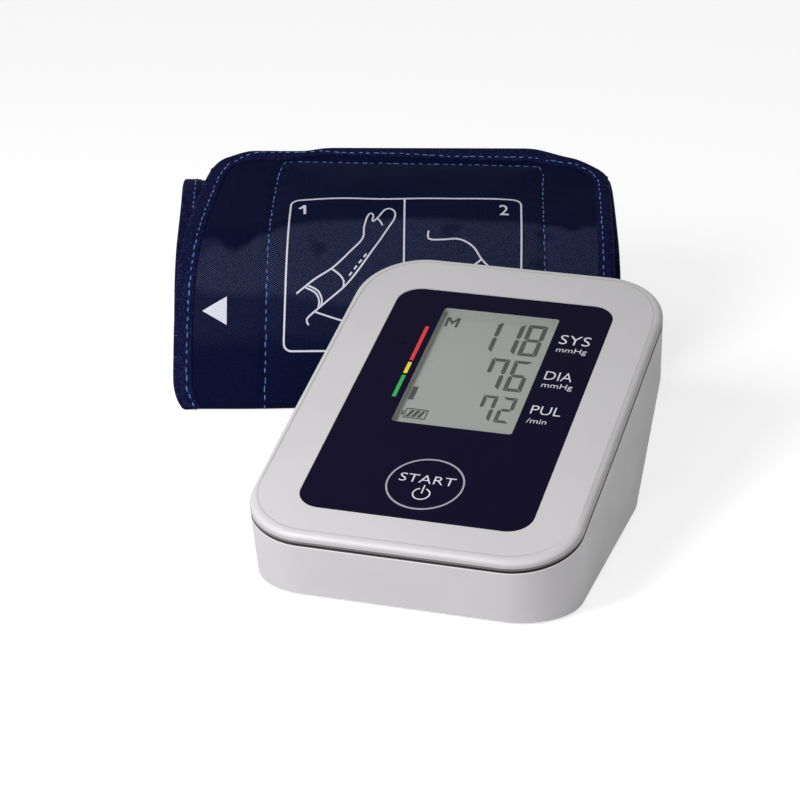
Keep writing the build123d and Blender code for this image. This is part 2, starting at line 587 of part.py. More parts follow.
with BuildPart() as display_frame:
    with BuildSketch(down(face, BOARD_DROP)) as frame_plan:
        with Locations((0, WINDOW_SHIFT)):
            Rectangle(
                GLASS_WIDTH + 2 * FRAME_WALL + 2 * FIT_GAP, GLASS_LENGTH + 2 * FRAME_WALL + 2 * FIT_GAP
            )
            Rectangle(GLASS_WIDTH - 2 * FRAME_WALL, REFLECTOR_LENGTH + 2 * FIT_GAP, mode=Mode.SUBTRACT)
        with Locations(*zebra_spots):
            Rectangle(GLASS_WIDTH - 2 * FRAME_WALL, ZEBRA_WIDTH + 2 * FIT_GAP, mode=Mode.SUBTRACT)
    extrude(amount=BOARD_DROP - GLASS_FRONT)
    with BuildSketch(down(face, GLASS_BACK)) as glass_seat:
        with Locations((0, WINDOW_SHIFT)):
            Rectangle(GLASS_WIDTH + 2 * FIT_GAP, GLASS_LENGTH + 2 * FIT_GAP)
    extrude(amount=GLASS_THICKNESS, mode=Mode.SUBTRACT)
display_frame.part.label = "display_frame"
export_step(display_frame.part, "parts/display_frame.step")

with BuildPart() as display_reflector:
    with BuildSketch(down(face, GLASS_BACK + FIT_GAP + REFLECTOR_THICKNESS)) as reflector_plan:
        with Locations((0, WINDOW_SHIFT)):
            Rectangle(GLASS_WIDTH - 2 * FRAME_WALL - 2 * FIT_GAP, REFLECTOR_LENGTH)
    extrude(amount=REFLECTOR_THICKNESS)
display_reflector.part.label = "display_reflector"
export_step(display_reflector.part, "parts/display_reflector.step")

with BuildPart() as zebra_strips:
    with BuildSketch(down(face, BOARD_DROP)) as zebra_plan:
        with Locations(*zebra_spots):
            Rectangle(GLASS_WIDTH - 2 * FRAME_WALL - 2 * FIT_GAP, ZEBRA_WIDTH)
    extrude(amount=BOARD_DROP - GLASS_BACK)
zebra_strips.part.label = "zebra_strips"
export_step(zebra_strips.part, "parts/zebra_strips.step")

# ---------------------------------------------------------------- main board and what it carries
with BuildPart() as main_board:
    with BuildSketch(down(face, BOARD_BACK)) as board_plan:
        with Locations((0, BOARD_SHIFT)):
            RectangleRounded(BOARD_WIDTH, BOARD_LENGTH, BAY_CLEARANCE)
        with Locations(*BOARD_POSTS):
            Circle(BOARD_SCREW / 2 + HOLE_GAP, mode=Mode.SUBTRACT)
    extrude(amount=BOARD_THICKNESS)
main_board.part.label = "main_board"
export_step(main_board.part, "parts/main_board.step")

BOARD_SCREW_HEAD = 4.0
BOARD_SCREW_RUN = 5.0
with BuildPart() as board_screws:
    with BuildSketch(down(face, BOARD_BACK + BOARD_SCREW / 2)) as board_heads:
        with Locations(*BOARD_POSTS):
            Circle(BOARD_SCREW_HEAD / 2)
    extrude(amount=BOARD_SCREW / 2)
    with BuildSketch(down(face, BOARD_BACK)) as board_shanks:
        with Locations(*BOARD_POSTS):
            Circle(BOARD_SCREW / 2)
    extrude(amount=BOARD_SCREW_RUN)
board_screws.part.label = "board_screws"
export_step(board_screws.part, "parts/board_screws.step")


def under_board(name, width, length, height, spots, corner=0.4):
    """A moulded package soldered under the board, one solid at each spot."""
    with BuildPart() as package:
        with BuildSketch(down(face, BOARD_BACK + height)) as package_plan:
            with Locations(*spots):
                RectangleRounded(width, length, corner)
        extrude(amount=height)
    package.part.label = name
    export_step(package.part, f"parts/{name}.step")
    return package.part


CHIP_SIZE = 10.0                # controller package
CHIP_HEIGHT = 1.4
CHIP_SPOT = (-6.0, 12.0)
MEMORY_WIDTH = 5.0
MEMORY_LENGTH = 4.0
MEMORY_SPOT = (8.0, 6.0)
DRIVER_SIZE = 6.2
DRIVER_HEIGHT = 1.8
DRIVER_SPOT = (10.0, 18.0)
CRYSTAL_LENGTH = 10.6
CRYSTAL_WIDTH = 3.6
CRYSTAL_HEIGHT = 3.2
CRYSTAL_CORNER = 1.7
CRYSTAL_SPOT = (-20.0, 12.0)
PLUG_SIDE = 8.5                 # board plugs in from the board's side
PLUG_WIDTH = 7.6
PLUG_LENGTH = 5.0
PLUG_PITCH = 9.0
PLUG_TO_POST = 6.0              # rearmost plug in front of the rear board post
plug_x = BOARD_WIDTH / 2 - PLUG_SIDE
plug_shifts = [BOARD_POST_REAR - PLUG_TO_POST - place * PLUG_PITCH for place in (2, 1, 0)]
under_board("controller_chip", CHIP_SIZE, CHIP_SIZE, CHIP_HEIGHT, [CHIP_SPOT])
under_board("memory_chip", MEMORY_WIDTH, MEMORY_LENGTH, CHIP_HEIGHT, [MEMORY_SPOT])
under_board("motor_driver", DRIVER_SIZE, DRIVER_SIZE, DRIVER_HEIGHT, [DRIVER_SPOT])
under_board("crystal", CRYSTAL_LENGTH, CRYSTAL_WIDTH, CRYSTAL_HEIGHT, [CRYSTAL_SPOT], corner=CRYSTAL_CORNER)
plug_spots = [(plug_x, shift) for shift in plug_shifts]
under_board("board_connectors", PLUG_WIDTH, PLUG_LENGTH, PLUG_LENGTH, plug_spots)

CAPACITOR_DIAMETER = 8.0
CAPACITOR_LENGTH = 10.5
CAPACITOR_SPOTS = [(20.0, -4.0), (20.0, 6.0)]
with BuildPart() as capacitors:
    with BuildSketch(down(face, BOARD_BACK + CAPACITOR_LENGTH)) as capacitor_plan:
        with Locations(*CAPACITOR_SPOTS):
            Circle(CAPACITOR_DIAMETER / 2)
    extrude(amount=CAPACITOR_LENGTH)
    fillet(capacitors.edges().group_by(Axis(face.origin, face.z_dir))[0], BUTTON_GAP)
capacitors.part.label = "capacitors"
export_step(capacitors.part, "parts/capacitors.step")

BUZZER_DIAMETER = 12.0
BUZZER_HEIGHT = 6.0
BUZZER_SPOT = (-26.0, -2.0)
with BuildPart() as buzzer:
    with BuildSketch(down(face, BOARD_BACK + BUZZER_HEIGHT)) as buzzer_plan:
        with Locations(BUZZER_SPOT):
            Circle(BUZZER_DIAMETER / 2)
    extrude(amount=BUZZER_HEIGHT)
    with BuildSketch(down(face, BOARD_BACK + BUZZER_HEIGHT)) as sound_hole:
        with Locations(BUZZER_SPOT):
            Circle(BUTTON_FLANGE)
    extrude(amount=BUZZER_HEIGHT / 2, mode=Mode.SUBTRACT)
buzzer.part.label = "buzzer"
export_step(buzzer.part, "parts/buzzer.step")

SENSOR_SPOT = (-26.0, BOARD_POST_REAR - 8.0)
SENSOR_SIZE = 8.0
SENSOR_HEIGHT = 4.6
SENSOR_PORT = 2.5               # height of the port's axis below the board
SENSOR_PORT_LENGTH = 5.0
sensor_port = Plane(
    origin=down(face, BOARD_BACK + SENSOR_PORT).from_local_coords((SENSOR_SPOT[0], SENSOR_SPOT[1], 0)),
    x_dir=(0, 1, 0),
    z_dir=(-1, 0, 0),
)
with BuildPart() as pressure_sensor:
    with BuildSketch(down(face, BOARD_BACK + SENSOR_HEIGHT)) as sensor_plan:
        with Locations(SENSOR_SPOT):
            RectangleRounded(SENSOR_SIZE, SENSOR_SIZE, BUTTON_GAP)
    extrude(amount=SENSOR_HEIGHT)
    with BuildSketch(sensor_port) as port_plan:
        Circle(BARB_DIAMETER / 2)
    extrude(amount=SENSOR_SIZE / 2 + SENSOR_PORT_LENGTH)
pressure_sensor.part.label = "pressure_sensor"
export_step(pressure_sensor.part, "parts/pressure_sensor.step")

# ---------------------------------------------------------------- battery door
HINGE_Y = RECESS_REAR - FIT_GAP
PIVOT_RADIUS = DOOR_THICKNESS / 2
PIVOT_HEIGHT = FOOT_HEIGHT + PIVOT_RADIUS
DOOR_LENGTH = RECESS_LENGTH - 2 * FIT_GAP - PIVOT_RADIUS
HOOK_HEIGHT = INSIDE_FLOOR + FIT_GAP
GRIP_DEPTH = 0.4
GRIP_PITCH = 2.4
with BuildPart() as battery_door:
    with BuildSketch(desk.offset(FOOT_HEIGHT)) as door_plan:
        with Locations((0, BAY_MIDDLE - PIVOT_RADIUS / 2)):
            Rectangle(RECESS_WIDTH - 2 * FIT_GAP, DOOR_LENGTH)
        with Locations((0, BAY_FRONT - LATCH_DEPTH / 2 + BAY_WALL / 2)):
            Rectangle(LATCH_WIDTH - 2 * FIT_GAP, LATCH_DEPTH + BAY_WALL - 2 * FIT_GAP)
    extrude(amount=DOOR_THICKNESS)
    # rounded rear edge, on which the door tips
    with BuildSketch(Plane(origin=(UNIT_X, UNIT_Y, 0), x_dir=(0, 1, 0), z_dir=(1, 0, 0))) as pivot_edge:
        with Locations((HINGE_Y - PIVOT_RADIUS, PIVOT_HEIGHT)):
            Circle(PIVOT_RADIUS)
    extrude(amount=RECESS_WIDTH / 2 - FIT_GAP, both=True)
    # latch tongue rising in its pocket
    latch_face = BAY_FRONT - LATCH_DEPTH / 2
    with BuildSketch(desk.offset(DOOR_TOP)) as tongue_plan:
        with Locations((0, latch_face)):
            Rectangle(LATCH_WIDTH - 6 * FIT_GAP, LATCH_THICKNESS)
    extrude(amount=LATCH_HEIGHT - DOOR_TOP)
    fillet(
        battery_door.edges().filter_by(Axis.X).group_by(Axis.Z)[-1].group_by(Axis.Y)[0],
        LATCH_THICKNESS / 3,
    )
    # two hooks over the housing floor
    for side in (-1, 1):
        hook_plane = Plane(
            origin=(UNIT_X + side * HOOK_SPREAD, UNIT_Y, 0), x_dir=(0, 1, 0), z_dir=(1, 0, 0)
        )
        with BuildSketch(hook_plane) as hook_profile:
            with BuildLine() as hook_outline:
                Polyline(
                    (HINGE_Y - HOOK_THICKNESS, PIVOT_HEIGHT),
                    (HINGE_Y - HOOK_THICKNESS, HOOK_HEIGHT + HOOK_THICKNESS),
                    (HINGE_Y + HOOK_REACH, HOOK_HEIGHT + HOOK_THICKNESS),
                    (HINGE_Y + HOOK_REACH, HOOK_HEIGHT),
                    (HINGE_Y, HOOK_HEIGHT),
                    (HINGE_Y, PIVOT_HEIGHT),
                    close=True,
                )
            make_face()
        extrude(amount=HOOK_WIDTH / 2, both=True)
    # finger grooves near the latch
    with BuildSketch(desk.offset(FOOT_HEIGHT)) as grooves:
        with Locations((0, BAY_FRONT + 4 * GRIP_PITCH)):
            with GridLocations(0, GRIP_PITCH, 1, 4):
                SlotOverall(LATCH_WIDTH, GRIP_PITCH / 2)
    extrude(amount=GRIP_DEPTH, mode=Mode.SUBTRACT)
battery_door.part.label = "battery_door"
export_step(battery_door.part, "parts/battery_door.step")

# ---------------------------------------------------------------- cells and contacts
NUB_DIAMETER = 5.5
NUB_LENGTH = 1.0
SPRING_WIRE = 0.35              # wire radius
SPRING_RADIUS = 3.6
SPRING_TURNS = 2.5
CONTACT_WIDTH = 8.8
front_cells = CELL_ROWS[0::2]   # cells whose spring is at the front
rear_cells = CELL_ROWS[1::2]
front_plane = Plane(origin=(UNIT_X, UNIT_Y + BAY_FRONT, CELL_HEIGHT), x_dir=(-1, 0, 0), z_dir=(0, 1, 0))
rear_plane = Plane(origin=(UNIT_X, UNIT_Y + BAY_REAR, CELL_HEIGHT), x_dir=(1, 0, 0), z_dir=(0, -1, 0))
spring_end = CONTACT_PLATE + CONTACT_SPRING + FIT_GAP


def cell_places(plane, rows):
    """Cell centres in a bay end plane."""
    turn = -1 if plane is front_plane else 1
    return [(turn * row, 0) for row in rows]


with BuildPart() as battery_cells:
    for plane, rows in ((front_plane, front_cells), (rear_plane, rear_cells)):
        with BuildSketch(plane.offset(spring_end)) as can:
            with Locations(*cell_places(plane, rows)):
                Circle(CELL_DIAMETER / 2)
        extrude(amount=CELL_LENGTH - NUB_LENGTH)
    fillet(battery_cells.edges().filter_by(GeomType.CIRCLE), 2 * FIT_GAP)
    for plane, rows in ((front_plane, front_cells), (rear_plane, rear_cells)):
        with BuildSketch(plane.offset(spring_end + CELL_LENGTH - NUB_LENGTH)) as nub:
            with Locations(*cell_places(plane, rows)):
                Circle(NUB_DIAMETER / 2)
        extrude(amount=NUB_LENGTH)
battery_cells.part.label = "battery_cells"
export_step(battery_cells.part, "parts/battery_cells.step")

with BuildPart() as contact_plates:
    for plane in (front_plane, rear_plane):
        with BuildSketch(plane) as plates:
            with Locations(*cell_places(plane, CELL_ROWS)):
                RectangleRounded(CONTACT_WIDTH, CONTACT_WIDTH, 4 * FIT_GAP)
        extrude(amount=CONTACT_PLATE)
contact_plates.part.label = "contact_plates"
export_step(contact_plates.part, "parts/contact_plates.step")

spring_rise = CONTACT_SPRING - 2 * SPRING_WIRE
spring_line = Helix(spring_rise / SPRING_TURNS, spring_rise, SPRING_RADIUS)
with BuildPart() as one_spring:
    with BuildSketch(Plane(origin=spring_line @ 0, z_dir=spring_line % 0)) as wire:
        RegularPolygon(SPRING_WIRE, 6)
    sweep(path=spring_line, is_frenet=True)

with BuildPart() as contact_springs:
    for plane, rows in ((front_plane, front_cells), (rear_plane, rear_cells)):
        spring_foot = plane.offset(CONTACT_PLATE + SPRING_WIRE + FIT_GAP / 2)
        for x, y in cell_places(plane, rows):
            with Locations(spring_foot.location * Location((x, y, 0))):
                add(one_spring.part)
contact_springs.part.label = "contact_springs"
export_step(contact_springs.part, "parts/contact_springs.step")

# ---------------------------------------------------------------- feet and case screws
with BuildPart() as rubber_feet:
    with BuildSketch(desk) as feet_plan:
        with Locations(*FEET):
            Circle(FOOT_DIAMETER / 2)
    extrude(amount=FOOT_HEIGHT + FOOT_RECESS)
    chamfer(rubber_feet.edges().group_by(Axis.Z)[0], FIT_GAP)
rubber_feet.part.label = "rubber_feet"
export_step(rubber_feet.part, "parts/rubber_feet.step")

with BuildPart() as case_screws:
    with BuildSketch(desk.offset(SCREW_SEAT)) as case_heads:
        with Locations(*PILLARS):
            Circle(SCREW_HEAD / 2)
    extrude(amount=-SCREW_HEAD_HEIGHT)
    with BuildSketch(desk.offset(SCREW_SEAT - SCREW_HEAD_HEIGHT)) as drive_recess:
        with Locations(*PILLARS):
            Rectangle(SCREW_HEAD / 2, FIT_GAP * 4)
            Rectangle(FIT_GAP * 4, SCREW_HEAD / 2)
    extrude(amount=SCREW_HEAD_HEIGHT / 2, mode=Mode.SUBTRACT)
    with BuildSketch(desk.offset(SCREW_SEAT)) as case_shanks:
        with Locations(*PILLARS):
            Circle(SCREW_DIAMETER / 2)
    extrude(amount=SCREW_LENGTH)
case_screws.part.label = "case_screws"
export_step(case_screws.part, "parts/case_screws.step")

# ---------------------------------------------------------------- air pump
BOSS_LENGTH = 1.5
SHAFT_OVERHANG = 1.0
CRANK_WALL = 2.0
with BuildPart() as pump_motor:
    with BuildSketch(pump) as can_plan:
        Circle(MOTOR_DIAMETER / 2)
    extrude(amount=MOTOR_LENGTH)
    fillet(pump_motor.edges().group_by(Axis.X)[-1], 3 * FIT_GAP)
    with BuildSketch(pump.offset(MOTOR_LENGTH)) as rear_boss:
        Circle(MOTOR_BOSS / 2)
    extrude(amount=BOSS_LENGTH)
    # one solder tag above the shaft and one in front of it
    with BuildSketch(pump.offset(MOTOR_LENGTH)) as terminals:
        with Locations((0, MOTOR_BOSS), (-MOTOR_BOSS, 0)):
            Rectangle(2 * BOSS_LENGTH, 2 * BOSS_LENGTH)
    extrude(amount=2 * BOSS_LENGTH)
    with BuildSketch(pump) as shaft_bore:
        Circle(SHAFT_DIAMETER / 2 + SHAFT_GAP)
    extrude(amount=MOTOR_LENGTH + BOSS_LENGTH, mode=Mode.SUBTRACT)
pump_motor.part.label = "pump_motor"
export_step(pump_motor.part, "parts/pump_motor.step")

with BuildPart() as pump_crankcase:
    with BuildSketch(pump.offset(-CRANKCASE_LENGTH)) as crank_plan:
        Circle(HEAD_DIAMETER / 2)
    extrude(amount=CRANKCASE_LENGTH)
    with BuildSketch(pump.offset(-CRANKCASE_LENGTH)) as crank_room:
        Circle(HEAD_DIAMETER / 2 - CRANK_WALL)
    extrude(amount=CRANKCASE_LENGTH - CRANK_WALL, mode=Mode.SUBTRACT)
    with BuildSketch(pump.offset(-CRANK_WALL)) as crank_bore:
        Circle(SHAFT_DIAMETER / 2 + SHAFT_GAP)
    extrude(amount=CRANK_WALL, mode=Mode.SUBTRACT)
pump_crankcase.part.label = "pump_crankcase"
export_step(pump_crankcase.part, "parts/pump_crankcase.step")

with BuildPart() as motor_shaft:
    with BuildSketch(pump.offset(-CRANKCASE_LENGTH + 2 * CRANK_WALL)) as shaft_plan:
        Circle(SHAFT_DIAMETER / 2)
    extrude(amount=CRANKCASE_LENGTH - 2 * CRANK_WALL + MOTOR_LENGTH + BOSS_LENGTH + SHAFT_OVERHANG)
motor_shaft.part.label = "motor_shaft"
export_step(motor_shaft.part, "parts/motor_shaft.step")

with BuildPart() as pump_eccentric:
    with BuildSketch(pump.offset(-CRANK_WALL - SHAFT_OVERHANG - ECCENTRIC_LENGTH)) as eccentric_plan:
        with Locations((ECCENTRIC_OFFSET, 0)):
            Circle(ECCENTRIC_DIAMETER / 2)
        Circle(SHAFT_DIAMETER / 2, mode=Mode.SUBTRACT)
    extrude(amount=ECCENTRIC_LENGTH)
pump_eccentric.part.label = "pump_eccentric"
export_step(pump_eccentric.part, "parts/pump_eccentric.step")

with BuildPart() as pump_diaphragm:
    with BuildSketch(pump.offset(-DIAPHRAGM_BACK)) as diaphragm_plan:
        Circle(HEAD_DIAMETER / 2)
    extrude(amount=DIAPHRAGM_THICKNESS)
    # three soft cups that the crank squeezes in turn
    with BuildSketch(pump.offset(-CRANKCASE_LENGTH)) as cups:
        with PolarLocations(HEAD_DIAMETER / 4, 3):
            Circle(HEAD_DIAMETER / 8)
    extrude(amount=DIAPHRAGM_THICKNESS)
pump_diaphragm.part.label = "pump_diaphragm"
export_step(pump_diaphragm.part, "parts/pump_diaphragm.step")

with BuildPart() as pump_cap:
    with BuildSketch(pump.offset(-DIAPHRAGM_BACK)) as cap_flange:
        Circle(HEAD_DIAMETER / 2)
    extrude(amount=-CAP_LENGTH / 3)
    with BuildSketch(pump.offset(-DIAPHRAGM_BACK)) as cap_dome:
        Circle(HEAD_DIAMETER / 2 - CRANK_WALL)
    extrude(amount=-CAP_LENGTH)
    fillet(pump_cap.edges().group_by(Axis.X)[0], CRANK_WALL)
    with BuildSketch(pump.offset(-CAP_BACK)) as nozzle_plan:
        Circle(NOZZLE_DIAMETER / 2)
    extrude(amount=-NOZZLE_LENGTH)
    with BuildSketch(pump.offset(-CAP_BACK)) as nozzle_bore:
        Circle(NOZZLE_DIAMETER / 4)
    extrude(amount=-NOZZLE_LENGTH, mode=Mode.SUBTRACT)
pump_cap.part.label = "pump_cap"
export_step(pump_cap.part, "parts/pump_cap.step")

with BuildPart() as pump_cushion:
    with BuildSketch(pump.offset(MOTOR_LENGTH / 2 - CUSHION_LENGTH / 2)) as cushion_plan:
        Circle(CUSHION_DIAMETER / 2)
        Circle(CUSHION_BORE / 2, mode=Mode.SUBTRACT)
    extrude(amount=CUSHION_LENGTH)
pump_cushion.part.label = "pump_cushion"
export_step(pump_cushion.part, "parts/pump_cushion.step")

# ---------------------------------------------------------------- exhaust valve
COIL_WAIST = 1.2                # bobbin cheek height and depth
with BuildPart() as valve_coil:
    with BuildSketch(valve) as coil_plan:
        Circle(COIL_DIAMETER / 2)
    extrude(amount=COIL_LENGTH)
    with BuildSketch(valve.offset(CUP_DEPTH + COIL_WAIST)) as winding_room:
        Circle(COIL_DIAMETER / 2)
        Circle(COIL_DIAMETER / 2 - COIL_WAIST, mode=Mode.SUBTRACT)
    extrude(amount=COIL_LENGTH - CUP_DEPTH - 2 * COIL_WAIST, mode=Mode.SUBTRACT)
    with BuildSketch(valve.offset(VALVE_FRAME)) as coil_bore:
        Circle(COIL_BORE / 2)
    extrude(amount=COIL_LENGTH, mode=Mode.SUBTRACT)
valve_coil.part.label = "valve_coil"
export_step(valve_coil.part, "parts/valve_coil.step")

with BuildPart() as valve_plunger:
    with BuildSketch(valve.offset(VALVE_FRAME + FIT_GAP)) as valve_plunger_plan:
        Circle(PLUNGER_DIAMETER / 2)
    extrude(amount=PLUNGER_LENGTH)
    fillet(valve_plunger.edges().group_by(Axis.Z)[-1], PLUNGER_DIAMETER / 6)
valve_plunger.part.label = "valve_plunger"
export_step(valve_plunger.part, "parts/valve_plunger.step")

with BuildPart() as valve_cap:
    with BuildSketch(valve.offset(COIL_LENGTH)) as valve_cap_plan:
        Circle(COIL_DIAMETER / 2)
    extrude(amount=CAP_PLATE)
    with BuildSketch(valve.offset(COIL_LENGTH)) as elbow_plan:
        Circle(NOZZLE_DIAMETER / 2 + VALVE_FRAME)
    extrude(amount=CAP_PLATE + 2 * ELBOW_HEIGHT)
    elbow = Plane(
        origin=(UNIT_X + VALVE_X, UNIT_Y + VALVE_Y, VALVE_TOP + CAP_PLATE + ELBOW_HEIGHT),
        x_dir=(-1, 0, 0),
        z_dir=(0, 1, 0),
    )
    with BuildSketch(elbow) as elbow_nozzle:
        Circle(BARB_DIAMETER / 2)
    extrude(amount=NOZZLE_DIAMETER / 2 + VALVE_FRAME + BARB_LENGTH)
valve_cap.part.label = "valve_cap"
export_step(valve_cap.part, "parts/valve_cap.step")

# ---------------------------------------------------------------- air circuit
trunk = Plane(
    origin=(UNIT_X + MANIFOLD_X, UNIT_Y + PUMP_Y - MANIFOLD_LENGTH / 2, PUMP_Z),
    x_dir=(-1, 0, 0),
    z_dir=(0, 1, 0),
)
branch = Plane(origin=(UNIT_X + MANIFOLD_X, UNIT_Y + PUMP_Y, PUMP_Z), x_dir=(0, 1, 0), z_dir=(1, 0, 0))
risers = Plane((UNIT_X + MANIFOLD_X, UNIT_Y + PUMP_Y, PUMP_Z))
with BuildPart() as air_manifold:
    with BuildSketch(trunk) as trunk_plan:
        Circle(MANIFOLD_DIAMETER / 2)
    extrude(amount=MANIFOLD_LENGTH)
    with BuildSketch(trunk) as front_barb:
        Circle(BARB_DIAMETER / 2)
    extrude(amount=-BARB_LENGTH)
    with BuildSketch(branch) as pump_barb:
        Circle(NOZZLE_DIAMETER / 2)
    extrude(amount=MANIFOLD_DIAMETER / 2 + BARB_LENGTH)
    with BuildSketch(risers) as riser_barbs:
        with Locations((0, -RISER_SPREAD), (0, RISER_SPREAD)):
            Circle(BARB_DIAMETER / 2)
    extrude(amount=MANIFOLD_DIAMETER / 2 + BARB_LENGTH)
air_manifold.part.label = "air_manifold"
export_step(air_manifold.part, "parts/air_manifold.step")

LEAK_LENGTH = 5.0
with BuildPart() as leak_valve:
    with BuildSketch(trunk.offset(MANIFOLD_LENGTH)) as leak_plan:
        Circle(MANIFOLD_DIAMETER / 2 + FIT_GAP)
    extrude(amount=LEAK_LENGTH)
    fillet(leak_valve.edges().group_by(Axis.Y)[-1], BAY_CLEARANCE)
leak_valve.part.label = "leak_valve"
export_step(leak_valve.part, "parts/leak_valve.step")

SOCKET_FLOOR = 4.0
socket_elbow_x = FIT_GAP + SOCKET_DEPTH + SOCKET_FLOOR / 2 - socket_mouth
socket_elbow = Plane(
    origin=(UNIT_X + socket_elbow_x, UNIT_Y + SOCKET_Y, SOCKET_Z),
    x_dir=(-1, 0, 0),
    z_dir=(0, 1, 0),
)
with BuildPart() as air_socket:
    with BuildSketch(socket.offset(FIT_GAP)) as sleeve_plan:
        Circle(SOCKET_BORE / 2 + SOCKET_WALL)
    extrude(amount=SOCKET_DEPTH + SOCKET_FLOOR)
    with BuildSketch(socket.offset(WALL + FIT_GAP)) as socket_flange:
        Circle(SOCKET_FLANGE / 2)
    extrude(amount=SOCKET_FLANGE_THICKNESS)
    with BuildSketch(socket.offset(FIT_GAP)) as socket_bore:
        Circle(SOCKET_BORE / 2)
    extrude(amount=SOCKET_DEPTH, mode=Mode.SUBTRACT)
    # elbow: the hose barb leaves the closed end sideways
    with BuildSketch(socket_elbow) as socket_barb:
        Circle(BARB_DIAMETER / 2)
    extrude(amount=SOCKET_BORE / 2 + SOCKET_WALL + BARB_LENGTH)
air_socket.part.label = "air_socket"
export_step(air_socket.part, "parts/air_socket.step")


def air_tube(name, points, bore):
    """Soft tube of round section along its centre line."""
    line = tube_line(points)
    print(name, "bend radii mm:", [round(radius, 1) for radius in tube_radii(points)])
    with BuildPart() as tube:
        with BuildSketch(Plane(origin=line @ 0, z_dir=line % 0)) as ring:
            Circle(bore / 2 + TUBE_WALL)
            Circle(bore / 2, mode=Mode.SUBTRACT)
        sweep(path=line)
    tube.part.label = name
    export_step(tube.part, f"parts/{name}.step")
    return tube.part


TUBE_TIP = 0.4                  # tube end short of the shoulder that it meets
TUBE_SETBACK = 12.0             # valve tube in front of the rear of the case
pump_nozzle_root = PUMP_X - CAP_BACK - TUBE_TIP
manifold_side = MANIFOLD_X + MANIFOLD_DIAMETER / 2 + TUBE_TIP
trunk_front = PUMP_Y - MANIFOLD_LENGTH / 2 - TUBE_TIP
riser_foot = PUMP_Z + MANIFOLD_DIAMETER / 2 + TUBE_TIP
socket_side = SOCKET_Y + SOCKET_BORE / 2 + SOCKET_WALL + TUBE_TIP
sensor_x = SENSOR_SPOT[0] - SENSOR_SIZE / 2 - TUBE_TIP
sensor_y = sensor_port.origin.Y - UNIT_Y
sensor_z = sensor_port.origin.Z
elbow_y = VALVE_Y + NOZZLE_DIAMETER / 2 + VALVE_FRAME + TUBE_TIP
elbow_z = VALVE_TOP + CAP_PLATE + ELBOW_HEIGHT
rear_run = DEPTH / 2 - TUBE_SETBACK

air_tube("pump_tube", [(pump_nozzle_root, PUMP_Y, PUMP_Z), (manifold_side, PUMP_Y, PUMP_Z)], NOZZLE_DIAMETER)
air_tube(
    "socket_tube",
    [
        (socket_elbow_x, socket_side, SOCKET_Z),
        (socket_elbow_x, socket_side + 2 * BARB_LENGTH, SOCKET_Z),
        (MANIFOLD_X, trunk_front - 2 * BARB_LENGTH, PUMP_Z),
        (MANIFOLD_X, trunk_front, PUMP_Z),
    ],
    BARB_DIAMETER,
)
air_tube(
    "sensor_tube",
    [
        (sensor_x, sensor_y, sensor_z),
        (sensor_x - 2 * BARB_LENGTH, sensor_y, sensor_z),
        (MANIFOLD_X, PUMP_Y - RISER_SPREAD, riser_foot + 2 * BARB_LENGTH),
        (MANIFOLD_X, PUMP_Y - RISER_SPREAD, riser_foot),
    ],
    BARB_DIAMETER,
)
air_tube(
    "valve_tube",
    [
        (VALVE_X, elbow_y, elbow_z),
        (VALVE_X, rear_run, elbow_z),
        (MANIFOLD_X, rear_run, elbow_z),
        (MANIFOLD_X, PUMP_Y + RISER_SPREAD, riser_foot + 2 * BARB_LENGTH),
        (MANIFOLD_X, PUMP_Y + RISER_SPREAD, riser_foot),
    ],
    BARB_DIAMETER,
)

# ---------------------------------------------------------------- power inlet
with BuildPart() as power_inlet:
    with BuildSketch(inlet.offset(WALL + FIT_GAP)) as jack_plan:
        RectangleRounded(JACK_BODY, JACK_BODY, 2 * FIT_GAP)
    extrude(amount=JACK_LENGTH - WALL)
    with BuildSketch(inlet.offset(FIT_GAP)) as nose_plan:
        Circle(JACK_BODY / 2 - FIT_GAP)
    extrude(amount=WALL)
    with BuildSketch(inlet) as jack_bore:
        Circle(JACK_BORE / 2)
    extrude(amount=JACK_DEPTH, mode=Mode.SUBTRACT)
    with BuildSketch(inlet.offset(2 * BAY_CLEARANCE)) as jack_pin:
        Circle(JACK_PIN / 2)
    extrude(amount=JACK_DEPTH)
power_inlet.part.label = "power_inlet"
export_step(power_inlet.part, "parts/power_inlet.step")

# ---------------------------------------------------------------- leads inside the case
LEAD_RADIUS = 0.6
LEAD_SPREAD = 0.8               # half the distance between the two cores of a pair
LEAD_REACH = 3.4                # free run beside a plug


def lead_set(name, routes):
    """Insulated cores, one solid along each route."""
    with BuildPart() as leads:
        for route in routes:
            line = tube_line(route)
            print(name, "bend radii mm:", [round(radius, 1) for radius in tube_radii(route)])
            with BuildSketch(Plane(origin=line @ 0, z_dir=line % 0)) as core:
                RegularPolygon(LEAD_RADIUS, 8)
            sweep(path=line)
    leads.part.label = name
    export_step(leads.part, f"parts/{name}.step")
    return leads.part


def pair_routes(route, spread):
    """Two routes side by side, either side of one given route."""
    steps = [(side * LEAD_SPREAD * spread[0], side * LEAD_SPREAD * spread[1]) for side in (-1, 1)]
    return [[(x + dx, y + dy, z) for x, y, z in route] for dx, dy in steps]


def plug_place(shift, drop):
    """Middle of the free side of a board connector, from the middle of the desk unit."""
    spot = down(face, BOARD_BACK + drop).from_local_coords((plug_x + PLUG_WIDTH / 2, shift, 0))
    return spot.X - UNIT_X, spot.Y - UNIT_Y, spot.Z


